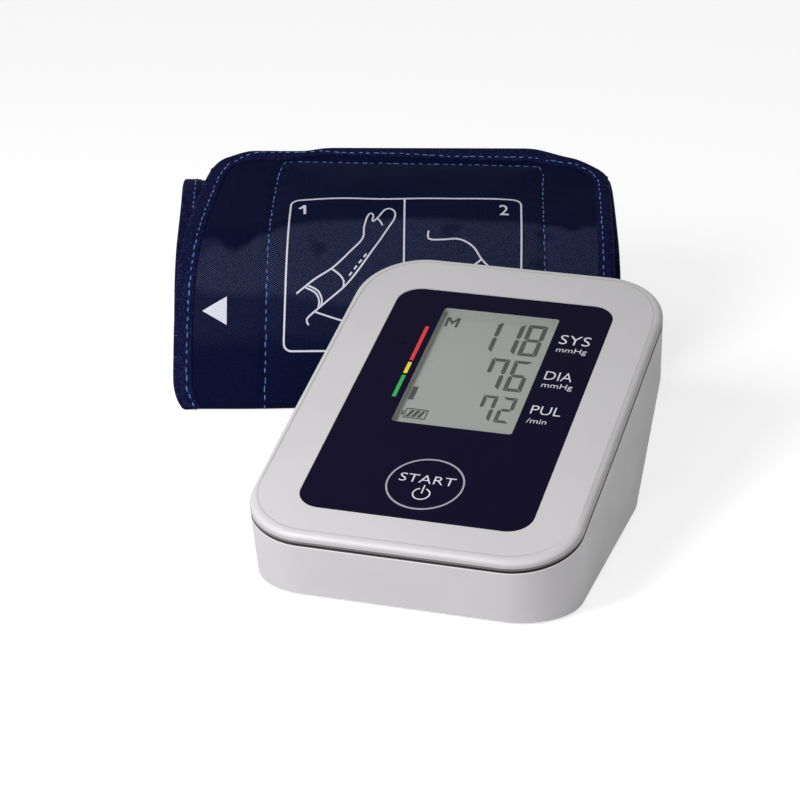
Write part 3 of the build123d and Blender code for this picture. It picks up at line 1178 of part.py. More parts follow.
battery_plug, motor_plug, valve_plug = [plug_place(shift, PLUG_LENGTH / 2) for shift in plug_shifts]
bay_side = BAY_WIDTH / 2 + BAY_WALL
tag_x = PUMP_X + MOTOR_LENGTH + 2 * BOSS_LENGTH + FIT_GAP
lead_drop_x = (bay_side + PILLAR_X - PILLAR_DIAMETER / 2) / 2
battery_lead_y = BAY_REAR - LEAD_REACH - LEAD_RADIUS
lead_set(
    "battery_leads",
    pair_routes(
        [
            (battery_plug[0] + FIT_GAP, battery_plug[1], battery_plug[2]),
            (lead_drop_x, battery_plug[1], battery_plug[2]),
            (lead_drop_x, battery_lead_y + LEAD_REACH / 2, PUMP_Z + LEAD_REACH),
            (lead_drop_x, battery_lead_y, PILLAR_TOP),
            (bay_side + FIT_GAP, battery_lead_y, PILLAR_TOP),
        ],
        (0, 1),
    ),
)
lead_set(
    "motor_leads",
    [
        [
            (motor_plug[0] + FIT_GAP, motor_plug[1] - LEAD_SPREAD, motor_plug[2]),
            (motor_plug[0] + LEAD_REACH, motor_plug[1] - LEAD_SPREAD, motor_plug[2]),
            (motor_plug[0] + LEAD_REACH, PUMP_Y - MOTOR_BOSS, PUMP_Z),
            (tag_x, PUMP_Y - MOTOR_BOSS, PUMP_Z),
        ],
        [
            (motor_plug[0] + FIT_GAP, motor_plug[1] + LEAD_SPREAD, motor_plug[2]),
            (motor_plug[0] + LEAD_SPREAD * 3, motor_plug[1] + LEAD_SPREAD, motor_plug[2]),
            (motor_plug[0] + LEAD_SPREAD * 3, PUMP_Y, PUMP_Z + MOTOR_BOSS),
            (tag_x, PUMP_Y, PUMP_Z + MOTOR_BOSS),
        ],
    ],
)
lead_set(
    "valve_leads",
    pair_routes(
        [
            (valve_plug[0] + FIT_GAP, valve_plug[1], valve_plug[2]),
            (valve_plug[0] + LEAD_SPREAD + LEAD_REACH / 2, valve_plug[1], valve_plug[2]),
            (valve_plug[0] + LEAD_SPREAD + LEAD_REACH / 2, valve_plug[1], VALVE_TOP + CAP_PLATE + FIT_GAP),
        ],
        (0, 1),
    ),
)
board_pad = down(face, BOARD_BACK).from_local_coords((0, BOARD_POST_REAR, 0))
inlet_front = DEPTH / 2 - JACK_LENGTH - FIT_GAP
lead_set(
    "inlet_leads",
    pair_routes(
        [
            (JACK_X, inlet_front, JACK_Z),
            (JACK_X, inlet_front - JACK_DEPTH / 2, JACK_Z),
            (JACK_X, board_pad.Y - UNIT_Y + LEAD_REACH, board_pad.Z - LEAD_REACH),
            (JACK_X, board_pad.Y - UNIT_Y, board_pad.Z - LEAD_RADIUS),
        ],
        (1, 0),
    ),
)

# ---------------------------------------------------------------- arm cuff
turned = math.radians(CUFF_ANGLE)
across = (math.cos(turned), math.sin(turned), 0)
profile = Plane(
    origin=(CUFF_X, CUFF_Y, 0), x_dir=(-math.sin(turned), math.cos(turned), 0), z_dir=across
)
shoulder_spot = (CUFF_SHOULDER * math.tan(math.radians(CUFF_LEAN)) - CUFF_TOE_REACH, CUFF_SHOULDER)
# sides of the roll's section as point and heading; the inside is on the left
top_side = (shoulder_spot, 180 + CUFF_TOP_SLOPE)
front_side = ((-CUFF_TOE_REACH, 0), 270 - CUFF_LEAN)
base_side = ((0, 0), 0)
rear_side = ((CUFF_DEPTH, 0), 90 + CUFF_REAR_LEAN)
OUTER_TURN = CUFF_THICKNESS / 2
INNER_TURN = OUTER_TURN + CUFF_PITCH


def corner(one, one_inset, two, two_inset):
    """Where two sides of the roll's section cross, each moved in by its inset."""
    ends = []
    for (spot, heading), inset in ((one, one_inset), (two, two_inset)):
        inward = math.radians(heading + 90)
        moved = (spot[0] + inset * math.cos(inward), spot[1] + inset * math.sin(inward))
        ends.append((*moved, math.radians(heading)))
    (ax, ay, a), (bx, by, b) = ends
    run = ((bx - ax) * math.sin(b) - (by - ay) * math.cos(b)) / math.sin(b - a)
    return ax + run * math.cos(a), ay + run * math.sin(a)


outer_shoulder = corner(top_side, OUTER_TURN, front_side, OUTER_TURN)
inner_heel = corner(base_side, INNER_TURN, rear_side, INNER_TURN)
slope = math.radians(CUFF_TOP_SLOPE)
rear_lean = math.radians(CUFF_REAR_LEAN)
inner_end = (-CUFF_INNER_END * math.sin(rear_lean), CUFF_INNER_END * math.cos(rear_lean))
roll_corners = [
    (outer_shoulder[0] + CUFF_TAIL * math.cos(slope), outer_shoulder[1] + CUFF_TAIL * math.sin(slope)),
    outer_shoulder,
    corner(front_side, OUTER_TURN, base_side, OUTER_TURN),
    corner(base_side, OUTER_TURN, rear_side, OUTER_TURN),
    corner(rear_side, OUTER_TURN, top_side, INNER_TURN),
    corner(top_side, INNER_TURN, front_side, INNER_TURN),
    corner(front_side, INNER_TURN, base_side, INNER_TURN),
    inner_heel,
    (inner_heel[0] + inner_end[0], inner_heel[1] + inner_end[1]),
]
outer_radii = [SHOULDER_RADIUS, TOE_RADIUS, HEEL_RADIUS, CREST_RADIUS]
inner_radii = [SHOULDER_RADIUS - CUFF_PITCH, TOE_RADIUS, HEEL_RADIUS - CUFF_PITCH]
with BuildLine(profile) as roll:
    FilletPolyline(*roll_corners, radius=outer_radii + inner_radii)
roll_runs = roll.wire().order_edges()


def roll_layer(name, run, strips):
    """Layer of the rolled cuff: strips given as (middle across, width, level, thickness)."""
    with BuildPart() as layer:
        section = Plane(origin=run @ 0, x_dir=across, z_dir=run % 0)
        for middle, width, level, thickness in strips:
            with BuildSketch(section) as strip:
                with Locations((middle, level)):
                    Rectangle(width, thickness)
            sweep(path=run)
    layer.part.label = name
    export_step(layer.part, f"parts/{name}.step")
    return layer.part


cloth_width = CUFF_WIDTH - 2 * BINDING_WIDTH
cloth_level = (CUFF_THICKNESS - CLOTH) / 2
binding_middle = (CUFF_WIDTH - BINDING_WIDTH) / 2
pad_level = (CUFF_THICKNESS + HOOK_PAD) / 2
whole_run = Wire(roll_runs)
bladder_run = Wire([roll_runs[0].trim(BLADDER_START, 1), *roll_runs[1:7]])
roll_layer("cuff_outer_cloth", whole_run, [(0, cloth_width, cloth_level, CLOTH)])
roll_layer("cuff_lining", whole_run, [(0, cloth_width, -cloth_level, CLOTH)])
roll_layer("cuff_bladder", bladder_run, [(0, BLADDER_WIDTH, 0, BLADDER_THICKNESS)])
roll_layer(
    "cuff_binding",
    whole_run,
    [(side * binding_middle, BINDING_WIDTH, 0, CUFF_THICKNESS) for side in (-1, 1)],
)
roll_layer("cuff_hook_pad", roll_runs[0], [(0, PAD_WIDTH, -pad_level, HOOK_PAD)])
roll_layer("cuff_loop_pad", roll_runs[8], [(0, PAD_WIDTH, pad_level, HOOK_PAD)])

fitting_spot = (
    CUFF_DEPTH - FITTING_HEIGHT * math.tan(rear_lean),
    FITTING_HEIGHT,
    FITTING_ACROSS,
)
fitting = Plane(
    origin=profile.from_local_coords(fitting_spot),
    x_dir=across,
    z_dir=profile.from_local_coords((math.cos(rear_lean), math.sin(rear_lean), 0)) - profile.origin,
)
with BuildPart() as cuff_air_fitting:
    with BuildSketch(fitting) as fitting_flange:
        Circle(FITTING_FLANGE / 2)
    extrude(amount=FITTING_THICKNESS)
    with BuildSketch(fitting) as fitting_neck:
        Circle(FITTING_NECK / 2)
    extrude(amount=FITTING_LENGTH)
    with BuildSketch(fitting.offset(FITTING_LENGTH)) as fitting_hole:
        Circle(FITTING_BORE / 2)
    extrude(amount=FITTING_THICKNESS - FITTING_LENGTH, mode=Mode.SUBTRACT)
cuff_air_fitting.part.label = "cuff_air_fitting"
export_step(cuff_air_fitting.part, "parts/cuff_air_fitting.step")
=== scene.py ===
"""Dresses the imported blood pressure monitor: case, face, display, inner parts and the rolled arm cuff."""

import math

import bpy
import numpy as np
from bpy.props import FloatProperty, FloatVectorProperty, PointerProperty
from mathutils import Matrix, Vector


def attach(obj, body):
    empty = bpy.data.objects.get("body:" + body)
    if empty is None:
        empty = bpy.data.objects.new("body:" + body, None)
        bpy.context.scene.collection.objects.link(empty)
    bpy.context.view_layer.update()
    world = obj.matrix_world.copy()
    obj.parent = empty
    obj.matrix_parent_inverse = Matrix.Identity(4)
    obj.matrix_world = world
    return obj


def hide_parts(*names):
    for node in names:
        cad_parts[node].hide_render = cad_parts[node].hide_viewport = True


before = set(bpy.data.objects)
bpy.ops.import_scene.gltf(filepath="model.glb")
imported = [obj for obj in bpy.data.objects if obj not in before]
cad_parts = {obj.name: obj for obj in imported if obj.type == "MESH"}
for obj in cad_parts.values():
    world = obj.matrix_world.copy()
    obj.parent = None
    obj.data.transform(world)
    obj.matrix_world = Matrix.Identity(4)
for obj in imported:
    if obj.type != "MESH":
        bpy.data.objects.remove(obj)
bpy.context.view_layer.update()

bl_info = {
    "name": "Arm Cuff Monitor",
    "version": (1, 0, 0),
    "blender": (4, 5, 0),
    "location": "View3D > Sidebar > Cuff Monitor",
    "description": "Finishes a sloping blood pressure monitor and the rolled arm cuff beside it",
    "category": "Object",
}

MM = 0.001
WHITE = (1.0, 1.0, 1.0)

# ------------------------------------------------------------------ places, in millimetres
UNIT_CENTRE = (51.8, -69.1)
CASE_SIZE = (107.0, 147.0)
CASE_CORNER = 22.5
FRONT_HEIGHT = 23.2
FACE_TILT = math.radians(15.8)
FACE_MIDDLE = FRONT_HEIGHT + CASE_SIZE[1] / 2 * math.tan(FACE_TILT)
FACE_ORIGIN = (UNIT_CENTRE[0] * MM, UNIT_CENTRE[1] * MM, FACE_MIDDLE * MM)
PANEL_LEVEL = -0.3              # surface of the panel, from the plane of the face
FILM_LEVEL = -2.5               # front of the display's film
KEY_CENTRE = (0.0, -45.4)
TABLE_REACH = 3000.0
TABLE_LEVEL = -0.05

# ------------------------------------------------------------------ steps of the case's finish and of its painted shade and highlight, in metres
# the next two are both flanks of a painted shade line along the step round the face
FACE_SHADE_LINE = ((0.0018, 0.0020), (0.0026, 0.0024))    # both flanks of the line round the face, from its edge
FACE_STEP = (0.0018, 0.0024)                        # step of the face, from its edge
# painted shade on the cover's side below its top
COVER_SIDE_SHADE = (0.0006, 0.0016)                       # the rest are depths below the plane of the face
# painted shadow in the groove: where it begins on the cover
GROOVE_SHADOW_HEAD = (0.0021, 0.00225)
# painted shadow in the groove: where it ends on the housing's rim
GROOVE_SHADOW_FOOT = (0.00398, 0.00392)
# painted highlight along the housing's lip under the groove
LIP_HIGHLIGHT_FOOT = (0.0045, 0.0042)
WINDOW_WALL = (0.00033, 0.00036)
WINDOW_FOOT = (-0.0185, -0.0175)                    # lower end of the window, up the slope from the middle

# ------------------------------------------------------------------ places on the cuff, in millimetres
CUFF_ORIGIN = (0.5, 21.4)
CUFF_ANGLE = math.radians(17.3)
CLOTH_FLOOR = 0.05              # lowest place of any cloth above the table
TOE_RUN = 121.0                 # where the roll's front meets the table, along the cloth
INSIDE_RUN = 190.0              # where the cloth turns into the roll at its rear
TAIL_SIDES = (-68.4, 83.5)      # where the outer end meets the side edges
POCKET_SIDES = (-45.0, 57.2)
OUTLINE_STEP = 1.6              # between the points of the cuff's outline
FRAME_TOP, FRAME_BOTTOM = 32.5, 97.5
# where the painted sheen band starts: place across the cuff, and run from the outer end
SHEEN_BAND_FROM = (
    (-72, 53), (-64, 54), (-60, 57.5), (-56, 59), (-52.5, 56.5), (-48, 52), (-42, 48.5), (-33, 46), (-18, 45.5),
    (23, 44.5), (54, 46), (62, 47), (66, 49.5), (69, 50.5), (72, 48.5), (74.5, 48),
)


def hexcolour(code):
    """Linear colour of an sRGB hex code: each channel over 255, to the power that undoes the screen's curve."""
    parts = np.array([int(code[i:i + 2], 16) for i in (0, 2, 4)]) / 255
    linear = np.where(parts <= 0.04045, parts / 12.92, ((parts + 0.055) / 1.055) ** 2.4)
    return tuple(float(v) for v in linear)


def shade(colour, share):
    """A share of a colour."""
    return tuple(min(1.0, v * share) for v in colour)


# ------------------------------------------------------------------ material nodes
class Tree:
    """Makes nodes in a node tree and joins their sockets."""

    def __init__(self, tree):
        self.nodes, self.links = tree.nodes, tree.links

    def feed(self, socket, value):
        """Links an output to a socket, or sets the socket to a plain value."""
        if isinstance(value, bpy.types.NodeSocket):
            self.links.new(value, socket)
        elif socket.type == "RGBA" and len(value) == 3:
            socket.default_value = (*value, 1)
        else:
            socket.default_value = value

    def node(self, kind, inputs=(), **settings):
        """A node with its settings, its inputs linked or set."""
        made = self.nodes.new(kind)
        for key, value in settings.items():
            setattr(made, key, value)
        for key, value in dict(inputs).items():
            self.feed(made.inputs[key], value)
        return made

    def sum(self, operation, a, b, c=0.0):
        """Math node."""
        return self.node("ShaderNodeMath", {0: a, 1: b, 2: c}, operation=operation).outputs[0]

    def seen(self):
        """One where a ray comes straight from the camera, from a gloss or through glass, else zero."""
        path = self.node("ShaderNodeLightPath").outputs
        either = self.sum("MAXIMUM", path["Is Camera Ray"], path["Is Glossy Ray"])
        return self.sum("MAXIMUM", either, path["Is Transmission Ray"])


class Finish(Tree):
    """One node material: a shader whose sockets are set or linked by name."""

    def __init__(self, name, colour, roughness, **sockets):
        self.material = bpy.data.materials.new(name)
        self.material.use_nodes = True
        super().__init__(self.material.node_tree)
        self.shader = self.nodes["Principled BSDF"]
        self.base(colour)
        for socket, value in {"Roughness": roughness, **sockets}.items():
            self.feed(self.shader.inputs[socket.replace("_", " ")], value)
        self.place = self.nodes.new("ShaderNodeTexCoord").outputs["Object"]

    def base(self, colour):
        """Gives the shader its colour."""
        self.feed(self.shader.inputs["Base Color"], colour)

    def noise(self, scale, detail=2.0, place=None):
        """Smooth noise over the piece, scale in cells per metre."""
        inputs = {"Vector": place or self.place, "Scale": scale, "Detail": detail}
        return self.node("ShaderNodeTexNoise", inputs).outputs["Fac"]

    def ramp(self, factor, *stops):
        """Colour ramp with stops of (position, colour)."""
        made = self.node("ShaderNodeValToRGB", {"Fac": factor})
        elements = made.color_ramp.elements
        while len(elements) < len(stops):
            elements.new(0.5)
        for element, (position, colour) in zip(elements, stops):
            element.position, element.color = position, (*colour, 1)
        return made.outputs["Color"]

    def mix(self, factor, a, b):
        """Colour between a and b."""
        return self.node("ShaderNodeMix", {0: factor, 6: a, 7: b}, data_type="RGBA").outputs[2]

    def vector(self, operation, a, b=(0.0, 0.0, 0.0), output=0):
        """Vector math node."""
        return self.node("ShaderNodeVectorMath", {0: a, 1: b}, operation=operation).outputs[output]

    def smooth(self, value, start, end, low=0.0, high=1.0, way="SMOOTHSTEP"):
        """Step of a value from low to high between start and end, smooth unless said otherwise."""
        inputs = {"Value": value, "From Min": start, "From Max": end, "To Min": low, "To Max": high}
        return self.node("ShaderNodeMapRange", inputs, interpolation_type=way).outputs[0]

    def mottled(self, colour, low, high, scale):
        """Colour that wanders over the surface between two shares of itself."""
        return self.ramp(self.noise(scale, 3.0), (0.3, shade(colour, low)), (0.7, shade(colour, high)))

    def rough(self, low, high, scale):
        """Roughness that wanders between two values."""
        self.feed(self.shader.inputs["Roughness"],
                  self.smooth(self.noise(scale, 3.0), 0.3, 0.7, low, high, way="LINEAR"))

    def bump(self, height, strength, distance, under=None):
        """Relief from a height, on top of another relief if one is given."""
        inputs = {"Height": height, "Strength": strength, "Distance": distance}
        if under is not None:
            inputs["Normal"] = under
        relief = self.node("ShaderNodeBump", inputs).outputs["Normal"]
        self.feed(self.shader.inputs["Normal"], relief)
        return relief

    def from_middle(self, direction):
        """How far a place lies from the middle of the face along a direction, in metres."""
        return self.vector("DOT_PRODUCT", self.vector("SUBTRACT", self.place, FACE_ORIGIN), direction, output="Value")

    def face_depth(self):
        """Depth below the plane of the sloping face, square to it, in metres."""
        return self.from_middle((0.0, math.sin(FACE_TILT), -math.cos(FACE_TILT)))

    def face_along(self):
        """Place up the slope of the face from its middle, in metres."""
        return self.from_middle((0.0, math.cos(FACE_TILT), math.sin(FACE_TILT)))

    def edge_inset(self):
        """How far a place lies inside the case's plan, a rectangle with round corners, in metres.

        With q the place from the middle, made positive, less the half sides short of a corner radius,
        the inset is the radius less the length of the positive part of q. Height is kept out of q by a
        half side far longer than the case is tall.
        """
        tall = 10.0
        short = (*((side / 2 - CASE_CORNER) * MM for side in CASE_SIZE), tall)
        offset = self.vector("ABSOLUTE", self.vector("SUBTRACT", self.place, (*FACE_ORIGIN[:2], 0.0)))
        past = self.vector("LENGTH", self.vector("MAXIMUM", self.vector("SUBTRACT", offset, short)), output="Value")
        return self.sum("SUBTRACT", CASE_CORNER * MM, past)


def plain_finish(name, colour, roughness, tint, rough=None, grain=None, detail=2.0, stretch=None, **sockets):
    """Material whose colour and gloss wander over a fine grain.

    tint is (spread, scale), rough is (low, high, scale) and grain is (scale, strength, depth). detail is
    the grain's, and stretch draws it out along the axes.
    """
    made = Finish(name, colour, roughness, **sockets)
    made.base(made.mottled(colour, 1 - tint[0], 1 + tint[0], tint[1]))
    if rough:
        made.rough(*rough)
    if grain:
        place = stretch and made.node("ShaderNodeMapping", {"Vector": made.place, "Scale": stretch}).outputs[0]
        made.bump(made.noise(grain[0], detail, place=place), *grain[1:])
    return made.material


def moulded(name, colour, roughness):
    """Moulded plastic: fine spark grain, faint mottling and slightly uneven gloss."""
    return plain_finish(name, colour, roughness, (0.03, 26.0), (roughness * 0.88, roughness * 1.12, 60.0),
                        (900.0, 0.35, 0.00002))


def plated(name, colour, roughness, streak=(1.0, 1.0, 1.0)):
    """Plated metal with fine drawn streaks and a little dulling."""
    return plain_finish(name, colour, roughness, (0.08, 90.0), (roughness * 0.7, roughness * 1.4, 300.0),
                        (1500.0, 0.2, 0.00001), detail=3.0, stretch=streak, Metallic=1.0)


def rubbery(name, colour, roughness=0.75):
    """Soft rubber: matt, with a dusty bloom."""
    return plain_finish(name, colour, roughness, (0.18, 120.0), (roughness * 0.85, roughness * 1.15, 220.0),
                        (2200.0, 0.3, 0.00002))


def cover_plastic(colour):
    """Top cover: a fine step round the face, painted shade on its side, and painted shadow in the groove below it.

    The painted shade line along the step is faint, fades towards the rear and sits further in there.
    """
    made = Finish("cover_plastic", colour, 0.42, Specular_IOR_Level=0.4)
    depth = made.face_depth()
    along = made.node("ShaderNodeSeparateXYZ", {"Vector": made.place}).outputs[1]
    inset = made.sum("SUBTRACT", made.edge_inset(), made.smooth(along, -0.03, -0.005, 0.0, 0.0014))
    # painted shade: the colour darkens to 0.42 of itself along the step round the face
    line = made.sum("MULTIPLY", *(made.smooth(inset, *flank) for flank in FACE_SHADE_LINE))
    line = made.sum("MULTIPLY", line, made.smooth(along, -0.130, -0.112, 0.0, 0.45))
    lined = made.mix(line, made.mottled(colour, 0.97, 1.02, 26.0), shade(colour, 0.42))
    # painted shade: the cover's side is darkened to 0.66 of its colour
    side_shaded = made.mix(made.smooth(depth, *COVER_SIDE_SHADE, 0.0, 0.9), lined, shade(colour, 0.66))
    # painted shadow: the cover's skirt in the groove is coloured a dark 6A6264
    made.base(made.mix(made.smooth(depth, *GROOVE_SHADOW_HEAD), side_shaded, hexcolour("6A6264")))
    made.rough(0.37, 0.47, 60.0)
    step = made.bump(made.smooth(inset, *FACE_STEP, 1.0, 0.0), 1.0, 0.00018)
    made.bump(made.noise(900.0), 0.35, 0.00002, under=step)
    return made.material


def housing_plastic(colour):
    """Bottom housing: spark-grained plastic with a painted highlight on the lip under the groove, and painted shadow on
    its rim in the groove.
    """
    made = Finish("housing_plastic", colour, 0.5)
    depth = made.face_depth()
    # painted highlight: a near-white F4F2F4 band along the housing's lip under the groove
    lip = made.smooth(depth, *LIP_HIGHLIGHT_FOOT, 0.0, 0.8)
    lip_highlighted = made.mix(lip, made.mottled(colour, 0.97, 1.02, 26.0), hexcolour("F4F2F4"))
    # painted shadow: the housing's rim in the groove is coloured a dark 5E5658
    made.base(made.mix(made.smooth(depth, *GROOVE_SHADOW_FOOT), lip_highlighted, hexcolour("5E5658")))
    made.rough(0.45, 0.56, 60.0)
    made.bump(made.noise(1100.0), 0.35, 0.00003)
    return made.material


def panel_plastic(colour):
    """Face panel: glossy dark film, pale on the wall of the display's window."""
    made = Finish("panel_film", colour, 0.34, Specular_IOR_Level=0.015)
    upper = made.smooth(made.face_along(), *WINDOW_FOOT)
    wall = made.sum("MULTIPLY", made.smooth(made.face_depth(), *WINDOW_WALL), upper)
    made.base(made.mix(wall, made.mottled(colour, 0.94, 1.06, 35.0), hexcolour("A4A8A2")))
    made.rough(0.27, 0.36, 80.0)
    made.bump(made.noise(1600.0), 0.08, 0.00001)
    return made.material


def solder_mask():
    """Green board: paler lines between staggered fields, under a fine grain."""
    made = Finish("solder_mask", (0.012, 0.10, 0.035), 0.35)
    traces = made.node("ShaderNodeTexBrick", {
        "Vector": made.place, "Scale": 260.0, "Mortar Size": 0.03, "Color1": (0.012, 0.10, 0.035),
        "Color2": (0.014, 0.12, 0.04), "Mortar": (0.03, 0.20, 0.07),
    })
    made.base(traces.outputs["Color"])
    made.bump(made.noise(500.0), 0.2, 0.00002)
    return made.material


def woven(name, colour, highlight, period=0.00064, roughness=0.62, band=None):
    """Twill: diagonal ribs crossed by finer threads, on the cloth's own flat coordinates in metres.

    With a band the light ribs are a painted sheen, shown where the band lights the cloth: it starts at the band's line,
    rises at once, falls off along a slant, and dimples break it. Without a band they show in scattered patches.
    """
    rib_angle, wave_scale, strip_width = math.radians(53.0), 0.314, 0.15
    made = Finish(name, colour, roughness, Specular_IOR_Level=0.02, Specular_Tint=(0.45, 0.55, 1.0))
    uv = made.node("ShaderNodeUVMap", uv_map="cloth").outputs[0]
    ribs = made.node("ShaderNodeMapping", {"Vector": uv, "Rotation": (0.0, 0.0, rib_angle)}).outputs[0]
    wave = {"Vector": ribs, "Scale": wave_scale / period, "Distortion": 0.5, "Detail": 1.0, "Detail Scale": 1.5}
    diagonal = made.node("ShaderNodeTexWave", wave, wave_type="BANDS", bands_direction="X").outputs["Fac"]
    threads = made.noise(2600.0, place=uv)
    weave = made.sum("MULTIPLY_ADD", threads, 0.35, made.sum("MULTIPLY", diagonal, 0.65))
    lines = made.sum("SMOOTH_MAX", made.sum("MULTIPLY_ADD", weave, 6.5, -4.45), 0.0, 0.05)
    patch = made.noise(30.0, 3.0, place=uv)
    if band is None:
        lit = made.smooth(made.noise(1900.0, place=uv), 0.5, 0.68, 0.0, 0.8)
    else:
        # painted sheen: the light ribs show only in this band, standing in for the lamp's gloss on the cloth's front
        across, along = made.node("ShaderNodeSeparateXYZ", {"Vector": uv}).outputs[:2]
        share = made.sum("MULTIPLY_ADD", across, 1 / strip_width, 0.5)
        start = made.ramp(share, *[(0.5 + spot * MM / strip_width, shade(WHITE, run / 100)) for spot, run in band])
        along = made.sum("MULTIPLY_ADD", patch, 0.008, made.sum("SUBTRACT", along, 0.004))
        rise = made.smooth(made.sum("MULTIPLY_ADD", start, -0.1, along), -0.002, 0.003)
        slanted = made.sum("MULTIPLY_ADD", across, -0.11, along)
        fall = made.sum("MULTIPLY", made.smooth(slanted, 0.079, 0.085, 1.0, 0.3),
                        made.smooth(along, 0.089, 0.099, 1.0, 0.1))
        dimple = made.smooth(made.noise(62.0, 1.0, place=uv), 0.6, 0.7, 1.0, 0.45)
        lit = made.sum("MULTIPLY", made.sum("MULTIPLY", rise, fall), dimple)
        lit = made.sum("MAXIMUM", lit, made.smooth(along, 0.125, 0.16, 0.03, 0.3))
    ground = made.sum("MULTIPLY_ADD", made.noise(1700.0, place=uv), 0.8, made.sum("MULTIPLY", patch, 0.2))
    ground = made.ramp(ground, (0.35, shade(colour, 0.6)), (0.55, colour), (0.75, shade(colour, 2.2)))
    made.base(made.mix(made.sum("MULTIPLY", made.sum("MINIMUM", lines, 1.0), lit), ground, highlight))
    folds = made.bump(made.noise(55.0, 3.0, place=uv), 0.3, 0.0009)
    made.bump(weave, 0.4, 0.00009, under=folds)
    return made.material


def wear(material, *nodes):
    """Puts a material on CAD nodes' own slots."""
    for node in nodes:
        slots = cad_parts[node].data.materials
        if not slots:
            slots.append(material)
        for index in range(len(slots)):
            slots[index] = material


# ------------------------------------------------------------------ surfaces from arrays
def solid_mesh(name, points, faces, uv=None, smooth=True):
    """Mesh object from points in millimetres and equal-sided faces; uv is one pair per point."""
    mesh = bpy.data.meshes.new(name)
    mesh.vertices.add(len(points))
    mesh.vertices.foreach_set("co", (np.asarray(points, dtype=np.float64) * MM).ravel())
    mesh.loops.add(faces.size)
    mesh.loops.foreach_set("vertex_index", faces.ravel().astype(np.int32))
    mesh.polygons.add(len(faces))
    mesh.polygons.foreach_set("loop_start", np.arange(0, faces.size, faces.shape[1], dtype=np.int32))
    mesh.polygons.foreach_set("use_smooth", np.full(len(faces), smooth))
    if uv is not None:
        layer = mesh.uv_layers.new(name="cloth")
        layer.data.foreach_set("uv", np.asarray(uv, dtype=np.float64)[faces.ravel()].ravel())
    mesh.update(calc_edges=True)
    mesh.validate()
    piece = bpy.data.objects.new(name, mesh)
    bpy.context.scene.collection.objects.link(piece)
    return piece


def grid_quads(index):
    """Faces of a grid of point numbers, each a point with its next row and next column."""
    corners = (index[..., :-1, :-1], index[..., 1:, :-1], index[..., 1:, 1:], index[..., :-1, 1:])
    return np.stack(corners, axis=-1).reshape(-1, 4)


def sheet_mesh(name, grid, closed=False, uv=None, smooth=True):
    """Mesh of quads over a grid of points; a closed one is joined round both ways."""
    index = np.arange(grid[..., 0].size).reshape(grid.shape[:2])
    if closed:
        index = np.pad(index, (0, 1), mode="wrap")
    return solid_mesh(name, grid.reshape(-1, 3), grid_quads(index), uv=uv, smooth=smooth)


def joined(name, parts):
    """One mesh from several (points, faces) pairs of the same number of sides."""
    points, faces, count = [], [], 0
    for some_points, some_faces in parts:
        points.append(some_points)
        faces.append(some_faces + count)
        count += len(some_points)
    return solid_mesh(name, np.concatenate(points), np.concatenate(faces), smooth=False)


def on_face(across, along, rise):
    """Points on the sloping face: across, up the slope, and above its plane, in millimetres."""
    across, along, rise = np.broadcast_arrays(across, along, rise)
    sine, cosine = math.sin(FACE_TILT), math.cos(FACE_TILT)
    return np.stack([
        UNIT_CENTRE[0] + across,
        UNIT_CENTRE[1] + along * cosine - rise * sine,
        FACE_MIDDLE + along * sine + rise * cosine,
    ], axis=-1)


def box_outline(left, low, right, high):
    """Corners of a rectangle, anticlockwise."""
    return [(left, low), (right, low), (right, high), (left, high)]


def slab(outline, low, high):
    """Flat plate on the face with a convex outline, in triangles: a side band and two fans from the middle."""
    outline = np.asarray(outline, dtype=float)
    count = len(outline)
    rings = [on_face(outline[:, 0], outline[:, 1], level) for level in (high, low)]
    hubs = [on_face(*outline.mean(axis=0), level)[None] for level in (high, low)]
    here = np.arange(count)
    after = (here + 1) % count
    faces = [
        (here, here + count, after + count), (here, after + count, after),
        (np.full(count, 2 * count), here, after), (np.full(count, 2 * count + 1), after + count, here + count),
    ]
    return np.concatenate([*rings, *hubs]), np.concatenate([np.stack(face, axis=-1) for face in faces])


def plates(name, outlines, low, high):
    """One piece of several thin plates on the face; each outline goes round anticlockwise."""
    return joined(name, [slab(outline, low, high) for outline in outlines])


def ring_band(centre, inner, outer, low, high, turn):
    """Flat band on the face: a rectangle carried round a circle through the given angles."""
    turn = turn[:, None]
    radius = np.array([outer, outer, inner, inner])
    rise = np.array([low, high, high, low])
    return on_face(centre[0] + radius * np.cos(turn), centre[1] + radius * np.sin(turn), rise + 0 * turn)


def lettering(name, words, place):
    """Raised lettering: each word is (text, left, base, height, weight, stretch), made a mesh and set on a
    surface by place, which takes across, up and thickness."""
    cap_height = 0.7
    parts = []
    for text, left, base, height, weight, stretch in words:
        curve = bpy.data.curves.new(name, "FONT")
        curve.body = text
        curve.size = height / cap_height
        curve.offset = weight
        curve.extrude = 0.5
        curve.resolution_u = 3
        shape = bpy.data.objects.new(name, curve)
        bpy.context.scene.collection.objects.link(shape)
        bpy.context.view_layer.update()
        mesh = bpy.data.meshes.new_from_object(shape.evaluated_get(bpy.context.evaluated_depsgraph_get()))
        mesh.calc_loop_triangles()
        flat = np.empty(len(mesh.vertices) * 3)
        mesh.vertices.foreach_get("co", flat)
        corners = np.empty(len(mesh.loop_triangles) * 3, dtype=np.int32)
        mesh.loop_triangles.foreach_get("vertices", corners)
        x, y, h = flat.reshape(-1, 3).T
        parts.append((place(x * stretch + left, y + base, h), corners.reshape(-1, 3)))
        bpy.data.objects.remove(shape)
        bpy.data.curves.remove(curve)
        bpy.data.meshes.remove(mesh)
    return joined(name, parts)


def finish_piece(piece, material, body, slot_name, *nodes):
    """Gives a new piece its material, the body it rides on, and the nodes it stands for; slot_name is not used."""
    piece.data.materials.append(material)
    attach(piece, body)
    if nodes:
        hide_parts(*nodes)
    return piece


# ------------------------------------------------------------------ settings
def colour_setting(name, description, code):
    """Colour that a user may change, given as an sRGB hex code."""
    return FloatVectorProperty(name=name, description=description, subtype="COLOR", default=hexcolour(code))


